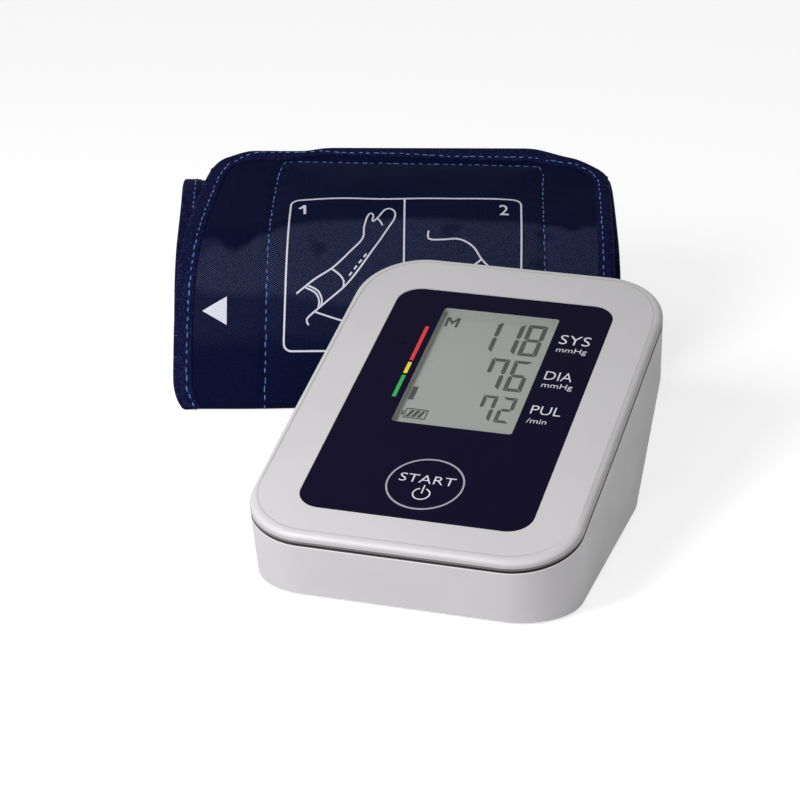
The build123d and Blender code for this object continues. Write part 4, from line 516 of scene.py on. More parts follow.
class StageLook(bpy.types.PropertyGroup):
    """Light, table and camera."""

    world_light: FloatProperty(name="World light", description="Strength of the even light", default=0.27)
    key_power: FloatProperty(name="Key power", description="Power of the lamp at the left", default=1.55)
    side_power: FloatProperty(name="Side power", description="Power of the lamp at the right", default=0.12)
    table_glow: FloatProperty(name="Table white", description="White added to the table as seen",
                              subtype="FACTOR", default=0.62)
    lens_length: FloatProperty(name="Lens", description="Focal length in millimetres", default=117.74)
    eye: FloatVectorProperty(name="Eye", description="Place of the camera", subtype="TRANSLATION",
                             unit="LENGTH", default=(0.2660, -0.8249, 0.3577))
    azimuth: FloatProperty(name="Azimuth", description="Turn of the camera about the upright",
                           subtype="ANGLE", default=math.radians(17.34))
    elevation: FloatProperty(name="Elevation", description="How far the camera looks down",
                             subtype="ANGLE", default=math.radians(21.85))


class CaseLook(bpy.types.PropertyGroup):
    """Colours of the desk unit."""

    cover: colour_setting("Cover", "Colour of the top cover", "D8D6D8")
    housing: colour_setting("Housing", "Colour of the bottom housing", "C6C4C6")
    panel: colour_setting("Panel", "Colour of the face panel", "130E29")
    display: colour_setting("Display", "Colour of the display", "A2A6A1")
    segment: colour_setting("Segments", "Colour of the display's figures", "252C27")


class CuffLook(bpy.types.PropertyGroup):
    """Form, in millimetres, and colours of the arm cuff."""

    half_width: FloatProperty(name="Half width", description="Half the width of the inner turn", default=82.4)
    end_half_width: FloatProperty(name="Half width at the end", description="Left half at the outer end", default=67.0)
    thickness: FloatProperty(name="Thickness", description="Cloth to cloth", default=4.5)
    pitch: FloatProperty(name="Pitch", description="One turn to the next", default=6.4)
    puff: FloatProperty(name="Puff", description="Rise of the bladder pocket", default=2.4)
    cloth: colour_setting("Cloth", "Colour of the outer cloth", "0C1130")
    # the rib colour is a painted sheen, shown on the outer cloth only where its band lights the cloth
    rib_sheen: colour_setting("Rib", "Colour of the twill's light ribs", "5E6386")
    thread: colour_setting("Thread", "Colour of the stitches", "457BC2")
    ink: colour_setting("Ink", "Colour of the print", "E4E3F2")


# ------------------------------------------------------------------ lines and the roll of the cuff
def way_along(line):
    """Length run at each point of a line, from its start."""
    return np.concatenate([[0], np.cumsum(np.linalg.norm(np.diff(line, axis=0), axis=1))])


def places_at(line, way, spots):
    """Places on a line at given lengths along it, way being the length at each of its points."""
    return np.stack([np.interp(spots, way, line[:, k]) for k in (0, 1)], axis=-1)


def pairs(one, two):
    """Places from their two coordinates."""
    return np.stack(np.broadcast_arrays(one, two), axis=-1)


def unit(steps):
    """Directions of steps, each of length one."""
    return steps / np.maximum(np.linalg.norm(steps, axis=-1), 1e-9)[..., None]


def left_of(along):
    """Directions a quarter turn anticlockwise from the given ones."""
    return pairs(-along[..., 1], along[..., 0])


def eased(value):
    """Rises from 0 to 1 as the value does, level at both ends."""
    share = np.clip(value, 0, 1)
    return share * share * (3 - 2 * share)


def side_crossing(one, one_inset, two, two_inset):
    """Where two sides of the roll's section cross, each moved inwards (left of its heading) by its inset."""
    ends = []
    for (spot, heading), inset in ((one, one_inset), (two, two_inset)):
        inward = math.radians(heading + 90)
        ends.append((spot[0] + inset * math.cos(inward), spot[1] + inset * math.sin(inward), math.radians(heading)))
    (ax, ay, a), (bx, by, b) = ends
    run = ((bx - ax) * math.sin(b) - (by - ay) * math.cos(b)) / math.sin(b - a)
    return ax + run * math.cos(a), ay + run * math.sin(a)


# top, front, base and rear of the roll's section: a place on each side, and its heading in degrees
ROLL_SIDES = (((22.7, 52.0), 197.5), ((-4.0, 0.0), 242.8), ((0.0, 0.0), 0.0), ((104.0, 0.0), 95.0))
TAIL_LENGTH = 62.0
INNER_END = 28.0
# radii of the section's corners, and samples of its straights and arcs in turn
OUTER_RADII = (42.0, 2.5, 19.0, 24.0, 36.0, 3.0, 13.0)
INNER_RADII = (37.5, 0.5, 14.5, 19.5, 31.0, 0.8, 8.4)
RUN_SAMPLES = (50, 44, 26, 16, 56, 30, 20, 36, 34, 36, 26, 14, 50, 22, 24)


def roll_line(inset, pitch, radii):
    """Section of the roll as points (depth, height), straights joined by arcs.

    Each corner of the polygon is rounded by an arc of its radius, tangent to both sides. Every
    straight and arc has a fixed number of samples, so that lines at two insets pair up.
    """
    top, front, base, rear = ROLL_SIDES
    inner = inset + pitch
    first = side_crossing(top, inset, front, inset)
    heel = side_crossing(base, inner, rear, inner)
    slope, lean = math.radians(top[1] - 180), math.radians(rear[1])
    corners = np.array([
        (first[0] + TAIL_LENGTH * math.cos(slope), first[1] + TAIL_LENGTH * math.sin(slope)),
        first,
        side_crossing(front, inset, base, inset),
        side_crossing(base, inset, rear, inset),
        side_crossing(rear, inset, top, inner),
        side_crossing(top, inner, front, inner),
        side_crossing(front, inner, base, inner),
        heel,
        (heel[0] + INNER_END * math.cos(lean), heel[1] + INNER_END * math.sin(lean)),
    ])
    pieces, here = [], corners[0]
    for number, radius in enumerate(radii, start=1):
        before, corner, after = corners[number - 1:number + 2]
        arriving, leaving = unit(corner - before), unit(after - corner)
        turn = math.acos(float(np.clip(arriving @ leaving, -1, 1)))
        reach = radius * math.tan(turn / 2)
        start = corner - arriving * reach
        side = left_of(arriving)
        straight = np.linspace(0, 1, RUN_SAMPLES[2 * number - 2], endpoint=False)[:, None]
        pieces.append(here + (start - here) * straight)
        swing = np.linspace(0, turn, RUN_SAMPLES[2 * number - 1], endpoint=False)[:, None]
        pieces.append(start + radius * (np.sin(swing) * arriving + (1 - np.cos(swing)) * side))
        here = corner + leaving * reach
    straight = np.linspace(0, 1, RUN_SAMPLES[-1])[:, None]
    pieces.append(here + (corners[-1] - here) * straight)
    return np.concatenate(pieces)


class Roll:
    """The rolled cuff: its outer and inner lines, its outline laid flat, and points on and through it.

    Places on the laid cuff are (across, run): across from its middle, and run along it from the outer end.
    """

    def __init__(self, look):
        self.look = look
        self.outer = roll_line(0.0, look.pitch, OUTER_RADII)
        self.inner = roll_line(look.thickness, look.pitch, INNER_RADII)
        self.run = way_along(self.outer)
        self.length = float(self.run[-1])
        self.normal = -left_of(unit(np.gradient(self.outer, self.run, axis=0)))

    def shift(self, run):
        """How far the roll wanders sideways: the outer turn lies left of the inner one."""
        return -3.1 + 3.6 * eased((run - INSIDE_RUN) / 120.0)

    def left(self, run):
        """Left edge: it draws in towards the outer end, and where the toe tucks under."""
        wide, narrow = self.look.half_width, self.look.end_half_width
        out = (wide - 4.0 - narrow) * np.sin(np.pi / 2 * np.clip(run / 95.0, 0, 1))
        behind = 4.0 * eased((run - INSIDE_RUN) / 90.0)
        return -(narrow + out + behind) + 4.5 * np.exp(-((run - TOE_RUN) / 6.0) ** 2)

    def right(self, run):
        """Right edge: nearly straight, a little wider at the outer end."""
        return self.look.half_width + 1.7 - 0.016 * np.clip(run, 0, 130)

    def tail(self, across):
        """Where the outer end stops: furthest out in the middle, with a rounded corner at either side."""
        spots = (-68.4, -67.4, -66.2, -64.2, -60.5, -57.0, -53.0, -32.0, -25.0, 56.0, 62.5, 68.0, 71.5, 75.5,
                 79.3, 81.8, 83.5)
        ends = (10.0, 7.0, 4.0, 1.5, -0.8, -2.3, -3.2, -2.9, -5.2, -4.8, -1.75, 1.2, 2.0, 4.0, 6.8, 10.0, 14.7)
        return np.interp(across, spots, ends)

    def pocket_left(self, run):
        """Left seam of the bladder pocket."""
        return POCKET_SIDES[0] + 4.4 * np.exp(-np.maximum(run, 0) / 32.0)

    def pocket_right(self, run):
        """Right seam of the bladder pocket."""
        return POCKET_SIDES[1] + 2.4 * np.exp(-np.maximum(run, 0) / 28.0)

    def pocket_top(self, across):
        """Seam of the bladder pocket beside the outer end: a little askew."""
        return 4.6 + 0.034 * across

    def flare(self, across, run):
        """How far the toe stands forward at the left, where the cloth spreads on the table."""
        return 3.4 * eased((8.0 - across) / 62.0) * np.exp(-((run - TOE_RUN) / 15.0) ** 2)

    def relief(self, across, run):
        """Height of the outer cloth over its plain line: the pocket swells, seams pull in, edges thin out."""
        left, right = self.pocket_left(run), self.pocket_right(run)
        ends = np.minimum(run - self.pocket_top(across), 200.0 - run)
        inside = np.minimum(np.minimum(across - left, right - across), ends)
        swell = self.look.puff * (1 - np.exp(-np.clip(inside, 0, None) / 9.0))
        flank = np.minimum(np.abs(across - left), np.abs(across - right))
        seam = -0.9 * np.exp(-(np.minimum(np.abs(inside), flank + 50 * (inside < -4)) / 1.6) ** 2)
        from_edge = np.minimum(across - self.left(run), self.right(run) - across)
        lip = -0.7 * (1 - np.clip((from_edge - 7.0) / 6.0, 0, 1))
        wrinkle = (
            0.42 * np.sin(across * 0.060 + 1.3 * np.sin(run * 0.045)) * np.sin(run * 0.075 + 0.6)
            + 0.22 * np.sin(across * 0.17 + run * 0.05) * np.sin(run * 0.13 - across * 0.04)
            + 0.10 * np.sin(run * 0.9 + 1.7 * np.sin(across * 0.05)) * np.exp(-(inside / 5.0) ** 2)
        )
        return swell + seam + lip + wrinkle * np.clip(run / 20.0, 0, 1)

    def press(self, run):
        """Share of the relief that is free: none where the roll lies on the table or inside itself."""
        lifted = np.clip((118.0 - run) / 14.0, 0, 1)
        behind = np.clip((run - 178.0) / 16.0, 0, 1) * np.clip((250.0 - run) / 16.0, 0, 1)
        return np.maximum(lifted, behind)

    def turned(self, across, depth, height):
        """Turns places or directions from the roll's own axes to the frame's."""
        cosine, sine = math.cos(CUFF_ANGLE), math.sin(CUFF_ANGLE)
        return np.stack([across * cosine - depth * sine, across * sine + depth * cosine, height + 0 * across], axis=-1)

    def cross(self, across, run, level):
        """Points through the cuff: level 0 is the outer cloth, minus the thickness is the lining.

        Between them the point moves in a straight line from cloth to lining; past them it follows
        the outward normal, and past the ends of the roll it follows the heading.
        """
        across, run, level = np.broadcast_arrays(*(np.asarray(v, float) for v in (across, run, level)))
        thick = self.look.thickness
        out_depth, out_height = (np.interp(run, self.run, self.normal[:, k]) for k in (0, 1))
        rise = self.press(run) * self.relief(across, run)
        layers = []
        for line, lift, floor in ((self.outer, rise, CLOTH_FLOOR), (self.inner, 0.0, -np.inf)):
            depth, height = (np.interp(run, self.run, line[:, k]) for k in (0, 1))
            layers.append(self.turned(
                across + self.shift(run), depth + out_depth * lift - self.flare(across, run),
                np.maximum(height + out_height * lift, floor),
            ))
        share = np.clip(-level / thick, 0, 1)[..., None]
        past = (level - np.clip(level, -thick, 0))[..., None]
        over = (run - np.clip(run, 0, self.length))[..., None]
        outward, onward = self.turned(0 * run, out_depth, out_height), self.turned(0 * run, -out_height, out_depth)
        points = (1 - share) * layers[0] + share * layers[1] + outward * past + onward * over + (*CUFF_ORIGIN, 0.0)
        points[..., 2] = np.maximum(points[..., 2], CLOTH_FLOOR)
        return points

    def outline(self):
        """Closed outline of the cuff laid flat, as even points and their inward directions.

        The side edges and the outer end are joined round the corners, points are set a step
        apart along the whole line, and each is then averaged with its neighbours a few times.
        """
        corner = 8.0
        half, end = self.look.half_width - corner, self.length - corner
        runs = np.arange(12.0, end, OUTLINE_STEP)
        ends = np.linspace(*TAIL_SIDES, 110)
        turn = np.linspace(0, np.pi / 2, 8)
        line = np.concatenate([
            pairs(self.left(runs), runs)[::-1],
            pairs(ends, self.tail(ends)),
            pairs(self.right(runs), runs)[runs > 15.0],
            pairs(half + corner * np.cos(turn), end + corner * np.sin(turn)),
            pairs(-half - corner * np.sin(turn), end + corner * np.cos(turn)),
        ])
        line = np.concatenate([line, line[:1]])
        way = way_along(line)
        line = places_at(line, way, np.linspace(0, way[-1], int(way[-1] / OUTLINE_STEP), endpoint=False))
        for _ in range(4):
            line = (np.roll(line, 1, axis=0) + 2 * line + np.roll(line, -1, axis=0)) / 4
        return line, left_of(unit(np.roll(line, -1, axis=0) - np.roll(line, 1, axis=0)))

    def hem(self, line, inwards):
        """Width of the tape and inset of its stitches at each place: both vary along the outer end only."""
        on_tail = np.clip((inwards[:, 1] - 0.6) / 0.3, 0, 1) * (line[:, 1] < 60)
        width, stitch, broad, plain = (np.interp(line[:, 0], spots, values) for spots, values in (
            ((-60, -45, -34, -19, 4, 42, 60, 73), (7, 6.6, 4.4, 5.4, 6.6, 9.0, 8.6, 6.2)),
            ((-60, -50, -30, -19, 4, 24, 57, 72), (4.8, 1.8, 1.8, 4.2, 4.6, 6.6, 7.0, 4.2)),
            ((60, 76), (7.0, 6.0)), ((60, 76), (4.9, 4.1)),
        ))
        return broad + on_tail * (width - broad), plain + on_tail * (stitch - plain)


def stitch_marks(roll, line, level, length, pitch=3.1, width=0.25):
    """Stitches along a line on the cuff: each is a slender ellipsoid lying along the line.

    Centres are set a pitch apart along the line; a point of a stitch is its centre, plus the
    cosine of one angle along the line, plus the sine of it round the other two directions. Sines
    of its number make each stitch a little longer or shorter and set it a little off the line.
    """
    way = way_along(line)
    centres = np.arange(pitch / 2, way[-1], pitch)
    number = np.arange(len(centres))
    centres = centres + 0.25 * np.sin(number * 2.4)
    near = 0.4
    along = unit(places_at(line, way, centres + near) - places_at(line, way, centres - near))
    side = left_of(along)
    middle = places_at(line, way, centres) + side * 0.14 * np.sin(number * 3.7)[:, None]
    polar = np.linspace(0, np.pi, 6)[None, :, None]
    around = np.linspace(0, 2 * np.pi, 6, endpoint=False)
    forward = length / 2 * (1 + 0.22 * np.sin(number * 5.1))[:, None, None] * np.cos(polar) + 0 * around
    sideways = width * np.sin(polar) * np.cos(around)
    rise = 0.75 * width * np.sin(polar) * np.sin(around) + level
    across, run = (
        middle[:, k, None, None] + forward * along[:, k, None, None] + sideways * side[:, k, None, None] for k in (0, 1)
    )
    points = roll.cross(across, run, rise)
    index = np.arange(points[..., 0].size).reshape(points.shape[:3])
    return points.reshape(-1, 3), grid_quads(np.concatenate([index, index[:, :, :1]], axis=2))[:, ::-1]


def printed_patch(roll, spots, rise=0.16, sink=0.3):
    """Thin printed patch over a grid of places on the cloth: the grid a little above the cloth, the same
    grid below it turned over, and a rim between their borders."""
    points = [roll.cross(spots[..., 0], spots[..., 1], level).reshape(-1, 3) for level in (rise, -sink)]
    top = np.arange(spots[..., 0].size).reshape(spots.shape[:2])
    quads = grid_quads(top)
    border = np.concatenate([top[0, :-1], top[:-1, -1], top[-1, :0:-1], top[:0:-1, 0]])
    after = np.roll(border, -1)
    rim = np.stack([border, after, after + top.size, border + top.size], axis=-1)
    return np.concatenate(points), np.concatenate([quads, quads[:, ::-1] + top.size, rim])


def inked_lines(roll, lines, width):
    """Printed lines on the cloth: each is a flat band carried along its line at even steps."""
    parts = []
    for line in lines:
        way = way_along(line)
        spots = places_at(line, way, np.linspace(0, way[-1], max(3, int(way[-1] / 1.2) + 1)))
        side = left_of(unit(np.gradient(spots, axis=0))) * width / 2
        parts.append(printed_patch(roll, np.stack([spots + side, spots - side], axis=1)))
    return parts


def flowing(*corners, count=10):
    """Smooth line through given places: between two of them it is a cubic whose slope at each is half the
    step between its neighbours."""
    spots = np.array([corners[0], *corners, corners[-1]], dtype=float)
    share = np.linspace(0, 1, count, endpoint=False)[:, None]
    pieces = []
    for before, here, after, beyond in zip(spots, spots[1:], spots[2:], spots[3:]):
        leave, arrive = (after - before) / 2, (beyond - here) / 2
        pieces.append(
            here + leave * share + (3 * (after - here) - 2 * leave - arrive) * share ** 2
            + (2 * (here - after) + leave + arrive) * share ** 3
        )
    return np.concatenate([*pieces, spots[-1:]])


def rounded_frame(left, right, top, bottom, radius):
    """Closed line of a rectangle with quarter-circle corners."""
    swing = np.linspace(0, np.pi / 2, 8)
    corners = ((right, top, -np.pi / 2), (right, bottom, 0.0), (left, bottom, np.pi / 2), (left, top, np.pi))
    pieces = []
    for x, y, begin in corners:
        cx = x - math.copysign(radius, x - (left + right) / 2)
        cy = y - math.copysign(radius, y - (top + bottom) / 2)
        pieces.append(pairs(cx + radius * np.cos(begin + swing), cy + radius * np.sin(begin + swing)))
    line = np.concatenate(pieces)
    return np.concatenate([line, line[:1]])


# ------------------------------------------------------------------ operators
def stand(context, name, data, spot, gaze):
    """Sets a lamp or camera in the scene, looking along a direction."""
    holder = bpy.data.objects.new(name, data)
    holder.location = spot
    holder.rotation_euler = gaze.to_track_quat("-Z", "Y").to_euler()
    context.scene.collection.objects.link(holder)
    return holder


class CUFFMONITOR_OT_stage(bpy.types.Operator):
    """Table, lamps and camera"""

    bl_idname = "cuffmonitor.stage"
    bl_label = "Stage"

    def execute(self, context):
        look = context.scene.cuffmonitor_stage
        reach = np.linspace(-TABLE_REACH, TABLE_REACH, 25)
        across, along = np.meshgrid(reach, reach, indexing="ij")
        table = sheet_mesh("table_top", np.stack([across, along, np.full_like(across, TABLE_LEVEL)], axis=-1))
        pale = (0.93, 0.93, 0.935)
        made = Finish("pale_table", pale, 0.8, Specular_IOR_Level=0.2)
        made.base(made.mottled(pale, 0.992, 1.008, 1.5))
        glow = made.node("ShaderNodeEmission", {
            "Color": WHITE, "Strength": made.sum("MULTIPLY", made.seen(), look.table_glow),
        })
        blend = made.node("ShaderNodeAddShader", {0: made.shader.outputs[0], 1: glow.outputs[0]})
        made.feed(made.nodes["Material Output"].inputs["Surface"], blend.outputs[0])
        table.data.materials.append(made.material)

        world = bpy.data.worlds.new("even_light")
        context.scene.world = world
        world.use_nodes = True
        sky = Tree(world.node_tree)
        even = sky.node("ShaderNodeBackground", {"Color": WHITE, "Strength": look.world_light})
        white = sky.node("ShaderNodeBackground", {"Color": WHITE, "Strength": 1.0})
        blend = sky.node("ShaderNodeMixShader", {0: sky.seen(), 1: even.outputs[0], 2: white.outputs[0]})
        sky.feed(sky.nodes["World Output"].inputs["Surface"], blend.outputs[0])

        for name, spot, size, power in (
            ("key_lamp", (-0.14, -0.40, 0.33), 0.22, look.key_power),
            ("side_lamp", (0.21, -0.40, 0.07), 0.12, look.side_power),
        ):
            lamp = bpy.data.lights.new(name, "AREA")
            lamp.energy, lamp.shape, lamp.size = power, "DISK", size
            stand(context, name, lamp, spot, -Vector(spot))

        lens = bpy.data.cameras.new("camera")
        lens.sensor_width = 36.0
        lens.lens = look.lens_length
        lens.clip_end = 20.0
        flat = math.cos(look.elevation)
        gaze = Vector((-math.sin(look.azimuth) * flat, math.cos(look.azimuth) * flat, -math.sin(look.elevation)))
        context.scene.camera = stand(context, "camera", lens, look.eye, gaze)
        context.scene.view_settings.view_transform = "Standard"
        return {"FINISHED"}


class CUFFMONITOR_OT_case(bpy.types.Operator):
    """Cover, housing, battery door, feet and screws"""

    bl_idname = "cuffmonitor.case"
    bl_label = "Case"

    def execute(self, context):
        look = context.scene.cuffmonitor_case
        wear(cover_plastic(tuple(look.cover)), "top_cover")
        wear(housing_plastic(tuple(look.housing)), "bottom_housing", "battery_door")
        wear(rubbery("foot_rubber", (0.028, 0.028, 0.03)), "rubber_feet")
        wear(plated("zinc_plate", (0.62, 0.62, 0.64), 0.34), "case_screws", "board_screws", "motor_shaft",
             "valve_plunger")
        return {"FINISHED"}


class CUFFMONITOR_OT_face(bpy.types.Operator):
    """Face panel, lens, start key, and the print on them"""

    bl_idname = "cuffmonitor.face"
    bl_label = "Face"

    def ink_at(self, x, y, h):
        """Places the two sides of printed letters just over and just under the panel's surface."""
        return on_face(x, y, PANEL_LEVEL + 0.06 * np.sign(h))

    def key_sign(self):
        """Open ring and upright stroke of the key's sign, as (points, faces) pairs."""
        turn = np.radians(np.linspace(112, 428, 40))
        arc = ring_band((0.1, -50.2), 2.45, 2.9, PANEL_LEVEL - 0.05, PANEL_LEVEL + 0.07, turn)
        index = np.arange(4 * len(turn)).reshape(-1, 4)
        ends = np.array([index[0], index[-1, ::-1]])
        stroke = np.array(box_outline(-0.12, -49.9, 0.32, -45.9))
        block = np.concatenate([on_face(stroke[:, 0], stroke[:, 1], PANEL_LEVEL + h) for h in (0.07, -0.05)])
        sides = np.array([(0, 1, 2, 3), (7, 6, 5, 4), (0, 4, 5, 1), (1, 5, 6, 2), (2, 6, 7, 3), (3, 7, 4, 0)])
        around = np.concatenate([index, index[:, :1]], axis=1)
        return [(arc.reshape(-1, 3), np.concatenate([grid_quads(around), ends])), (block, sides)]

    def execute(self, context):
        look = context.scene.cuffmonitor_case
        wear(panel_plastic(tuple(look.panel)), "front_panel", "start_button")
        lens = Finish("lens_plastic", (0.9, 0.92, 0.91), 0.08, Alpha=0.02, Specular_IOR_Level=0.05)
        lens.rough(0.06, 0.12, 60.0)
        wear(lens.material, "display_lens")

        white = plain_finish("white_print", hexcolour("E6E6EE"), 0.5, (0.03, 400.0))
        words = [
            ("SYS", 22.4, 34.1, 5.2, -0.05, 0.98), ("mmHg", 22.7, 29.7, 2.6, -0.02, 1.05),
            ("DIA", 22.3, 14.1, 4.7, -0.05, 0.87), ("mmHg", 22.7, 10.0, 2.6, -0.02, 1.05),
            ("PUL", 22.4, -4.4, 4.5, -0.05, 0.96), ("/min", 22.8, -9.2, 2.5, -0.02, 1.08),
        ]
        finish_piece(lettering("panel_labels", words, self.ink_at), white, "monitor", "panel_film")
        for name, code, low, high in (
            ("high_mark", "E0262B", 16.4, 35.8), ("middle_mark", "EFE01F", 9.2, 15.3),
            ("low_mark", "17A84B", -3.7, 8.1),
        ):
            mark = plates(name, [box_outline(-23.5, low, -22.2, high)], PANEL_LEVEL - 0.05, PANEL_LEVEL + 0.05)
            paint = plain_finish(name + "_paint", hexcolour(code), 0.45, (0.05, 500.0))
            finish_piece(mark, paint, "monitor", "panel_film")

        turn = np.linspace(0, 2 * np.pi, 96, endpoint=False)
        ring = ring_band(KEY_CENTRE, 11.85, 12.45, PANEL_LEVEL - 0.05, PANEL_LEVEL + 0.12, turn)
        silver = plain_finish("ring_print", hexcolour("A9A8B4"), 0.4, (0.06, 300.0))
        finish_piece(sheet_mesh("key_ring", ring, closed=True, smooth=False), silver, "start_button", "button_face")
        for piece in (lettering("key_word", [("START", -9.2, -45.0, 4.0, -0.05, 1.1)], self.ink_at),
                      joined("key_sign", self.key_sign())):
            finish_piece(piece, white, "start_button", "button_face")
        return {"FINISHED"}


# segments of the figures that the display shows
SEGMENTS = {"1": "bc", "2": "abged", "6": "afgedc", "7": "fabc", "8": "abcdefg"}


def figure_outlines(text, right, base, width, height, stroke, pitch, gap=0.16):
    """Outlines of seven-segment figures, set from the right: each segment is a bar with mitred ends.

    The top bar, the upper right post and the middle bar are given from the figure's middle; the other
    segments mirror them. An outline that goes round clockwise is turned.
    """
    w, h, t, g = width / 2, height / 2, stroke, gap
    bar = np.array([(-w + g, h), (-w + t + g, h - t), (w - t - g, h - t), (w - g, h)])
    post = np.array([(w, h - g), (w - t, h - t - g), (w - t, t / 2 + g), (w - t / 2, g), (w, t / 2 + g)])
    middle = np.array([(-w + t / 2 + g, 0), (-w + t + g, -t / 2), (w - t - g, -t / 2),
                       (w - t / 2 - g, 0), (w - t - g, t / 2), (-w + t + g, t / 2)])
    forms = {"a": bar, "b": post, "c": post * (1, -1), "d": bar * (1, -1), "e": -post, "f": post * (-1, 1), "g": middle}
    outlines = []
    for place, figure in enumerate(reversed(text)):
        centre = (right - w - place * pitch, base + h)
        for key in SEGMENTS[figure]:
            x, y = forms[key].T
            anticlockwise = np.sum(x * np.roll(y, -1) - y * np.roll(x, -1)) > 0
            outlines.append(forms[key][::1 if anticlockwise else -1] + centre)
    return outlines


class CUFFMONITOR_OT_display(bpy.types.Operator):
    """Display glass and the reading on it"""

    bl_idname = "cuffmonitor.display"
    bl_label = "Display"

    def execute(self, context):
        look = context.scene.cuffmonitor_case
        glass = plain_finish("display_film", tuple(look.display), 0.38, (0.02, 40.0), (0.34, 0.42, 120.0),
                             Specular_IOR_Level=0.35)
        wear(glass, "display_glass")
        half, low, high = 21.1, -17.31, 48.59
        film = plates("display_film", [box_outline(-half, low, half, high)], -3.88, FILM_LEVEL)
        finish_piece(film, glass, "monitor", "display_cell")

        side, foot, head = 19.95, -16.16, 47.44
        bars = [
            box_outline(-half, low, -side, high), box_outline(side, low, half, high),
            box_outline(-side, head, side, high), box_outline(-side, low, side, foot),
        ]
        edging = plain_finish("display_edging", hexcolour("A4A8A2"), 0.5, (0.03, 60.0))
        finish_piece(plates("display_edge", bars, FILM_LEVEL - 0.05, -1.84), edging, "monitor", "display_cell")

        outlines = figure_outlines("118", 15.9, 30.0, 6.6, 17.4, 1.55, 7.7)
        outlines += figure_outlines("76", 15.8, 10.3, 6.2, 16.8, 1.5, 7.7)
        outlines += figure_outlines("72", 15.9, -6.5, 5.0, 13.5, 1.3, 6.4)
        outlines += [box_outline(*sides) for sides in (
            (-19.6, 0.2, -17.8, 7.2),
            (-18.5, -9.5, -11.0, -9.0), (-18.5, -4.8, -11.0, -4.3), (-18.5, -9.0, -18.1, -4.8),
            (-11.4, -9.0, -11.0, -4.8), (-19.4, -8.0, -18.8, -5.8),
            (-19.15, 41.65, -18.2, 47.05), (-15.5, 41.65, -14.55, 47.05),
        )]
        outlines += [
            [(-17.8, -8.7), (-16.6, -8.7), (-15.4, -5.1), (-16.6, -5.1)],
            [(-16.0, -8.7), (-14.6, -8.7), (-13.4, -5.1), (-14.8, -5.1)],
            [(-14.0, -8.7), (-12.8, -8.7), (-11.8, -5.1), (-12.8, -5.1)],
            [(-18.18, 45.3), (-16.86, 43.0), (-16.86, 44.9), (-18.18, 47.05)],
            [(-16.84, 43.0), (-15.52, 45.3), (-15.52, 47.05), (-16.84, 44.9)],
        ]
        moved = [np.asarray(outline) + (0.65, -1.75) for outline in outlines]
        ink = plain_finish("segment_ink", tuple(look.segment), 0.55, (0.08, 200.0))
        reading = plates("display_reading", moved, FILM_LEVEL - 0.02, FILM_LEVEL + 0.06)
        finish_piece(reading, ink, "monitor", "display_cell")
        return {"FINISHED"}


class CUFFMONITOR_OT_inside(bpy.types.Operator):
    """Board, pump, valve, tubes, leads and cells inside the case"""

    bl_idname = "cuffmonitor.inside"
    bl_label = "Inner parts"

    def execute(self, context):
        wear(moulded("black_plastic", (0.018, 0.018, 0.02), 0.5), "start_switch", "controller_chip", "memory_chip",
             "motor_driver", "buzzer", "pump_crankcase", "pump_cap", "valve_cap", "power_inlet")
        wear(moulded("white_plastic", (0.72, 0.72, 0.70), 0.45), "display_frame", "display_reflector",
             "board_connectors", "pump_eccentric", "air_manifold", "pressure_sensor")
        wear(moulded("dark_grey_plastic", (0.07, 0.072, 0.08), 0.42), "switch_plunger", "air_socket",
             "cuff_air_fitting", "capacitors")
        wear(rubbery("soft_rubber", (0.02, 0.02, 0.022)), "zebra_strips", "pump_diaphragm", "pump_cushion",
             "leak_valve")
        wear(plated("drawn_can", (0.66, 0.66, 0.67), 0.28), "crystal", "pump_motor")
        wear(plated("nickel_strip", (0.64, 0.62, 0.57), 0.3), "contact_plates", "contact_springs")
        wear(plated("enamelled_wire", (0.50, 0.20, 0.07), 0.35, streak=(1.0, 1.0, 14.0)), "valve_coil")
        silicone = plain_finish("tube_silicone", (0.70, 0.71, 0.70), 0.4, (0.05, 200.0), None,
                                (700.0, 0.15, 0.00002), Subsurface_Weight=0.15)
        wear(silicone, "pump_tube", "socket_tube", "sensor_tube", "valve_tube")
        wear(solder_mask(), "main_board")
        jacket = plain_finish("cell_jacket", (0.05, 0.06, 0.09), 0.35, (0.1, 120.0), None,
                              (900.0, 0.1, 0.00001), Metallic=0.4)
        wear(jacket, "battery_cells")
        wear(rubbery("red_insulation", (0.32, 0.01, 0.008), 0.5), "battery_leads", "motor_leads")
        wear(rubbery("black_insulation", (0.012, 0.012, 0.012), 0.5), "valve_leads", "inlet_leads")
        return {"FINISHED"}


def loop_cap(ring, width, bend):
    """Faces that close one end of the sleeve: quads from cloth to lining, and a fan in each rounded edge.

    The ring goes round the section: width points of cloth, bend points of an edge, width of lining and
    bend of the other edge.
    """
    outer, inner = ring[:width], ring[width + bend:2 * width + bend][::-1]
    faces = [np.stack([outer[:-1], outer[1:], inner[1:], inner[:-1]], axis=-1)]
    for spots in (ring[width - 1:width + bend + 1], np.append(ring[2 * width + bend - 1:], ring[0])):
        half = len(spots) // 2
        left, right = spots[:half], spots[::-1][:half]
        faces.append(np.stack([left[:-1], left[1:], right[1:], right[:-1]], axis=-1))
        faces.append(np.array([[left[-1], spots[half], spots[half], right[-1]]]))
    return np.concatenate(faces)


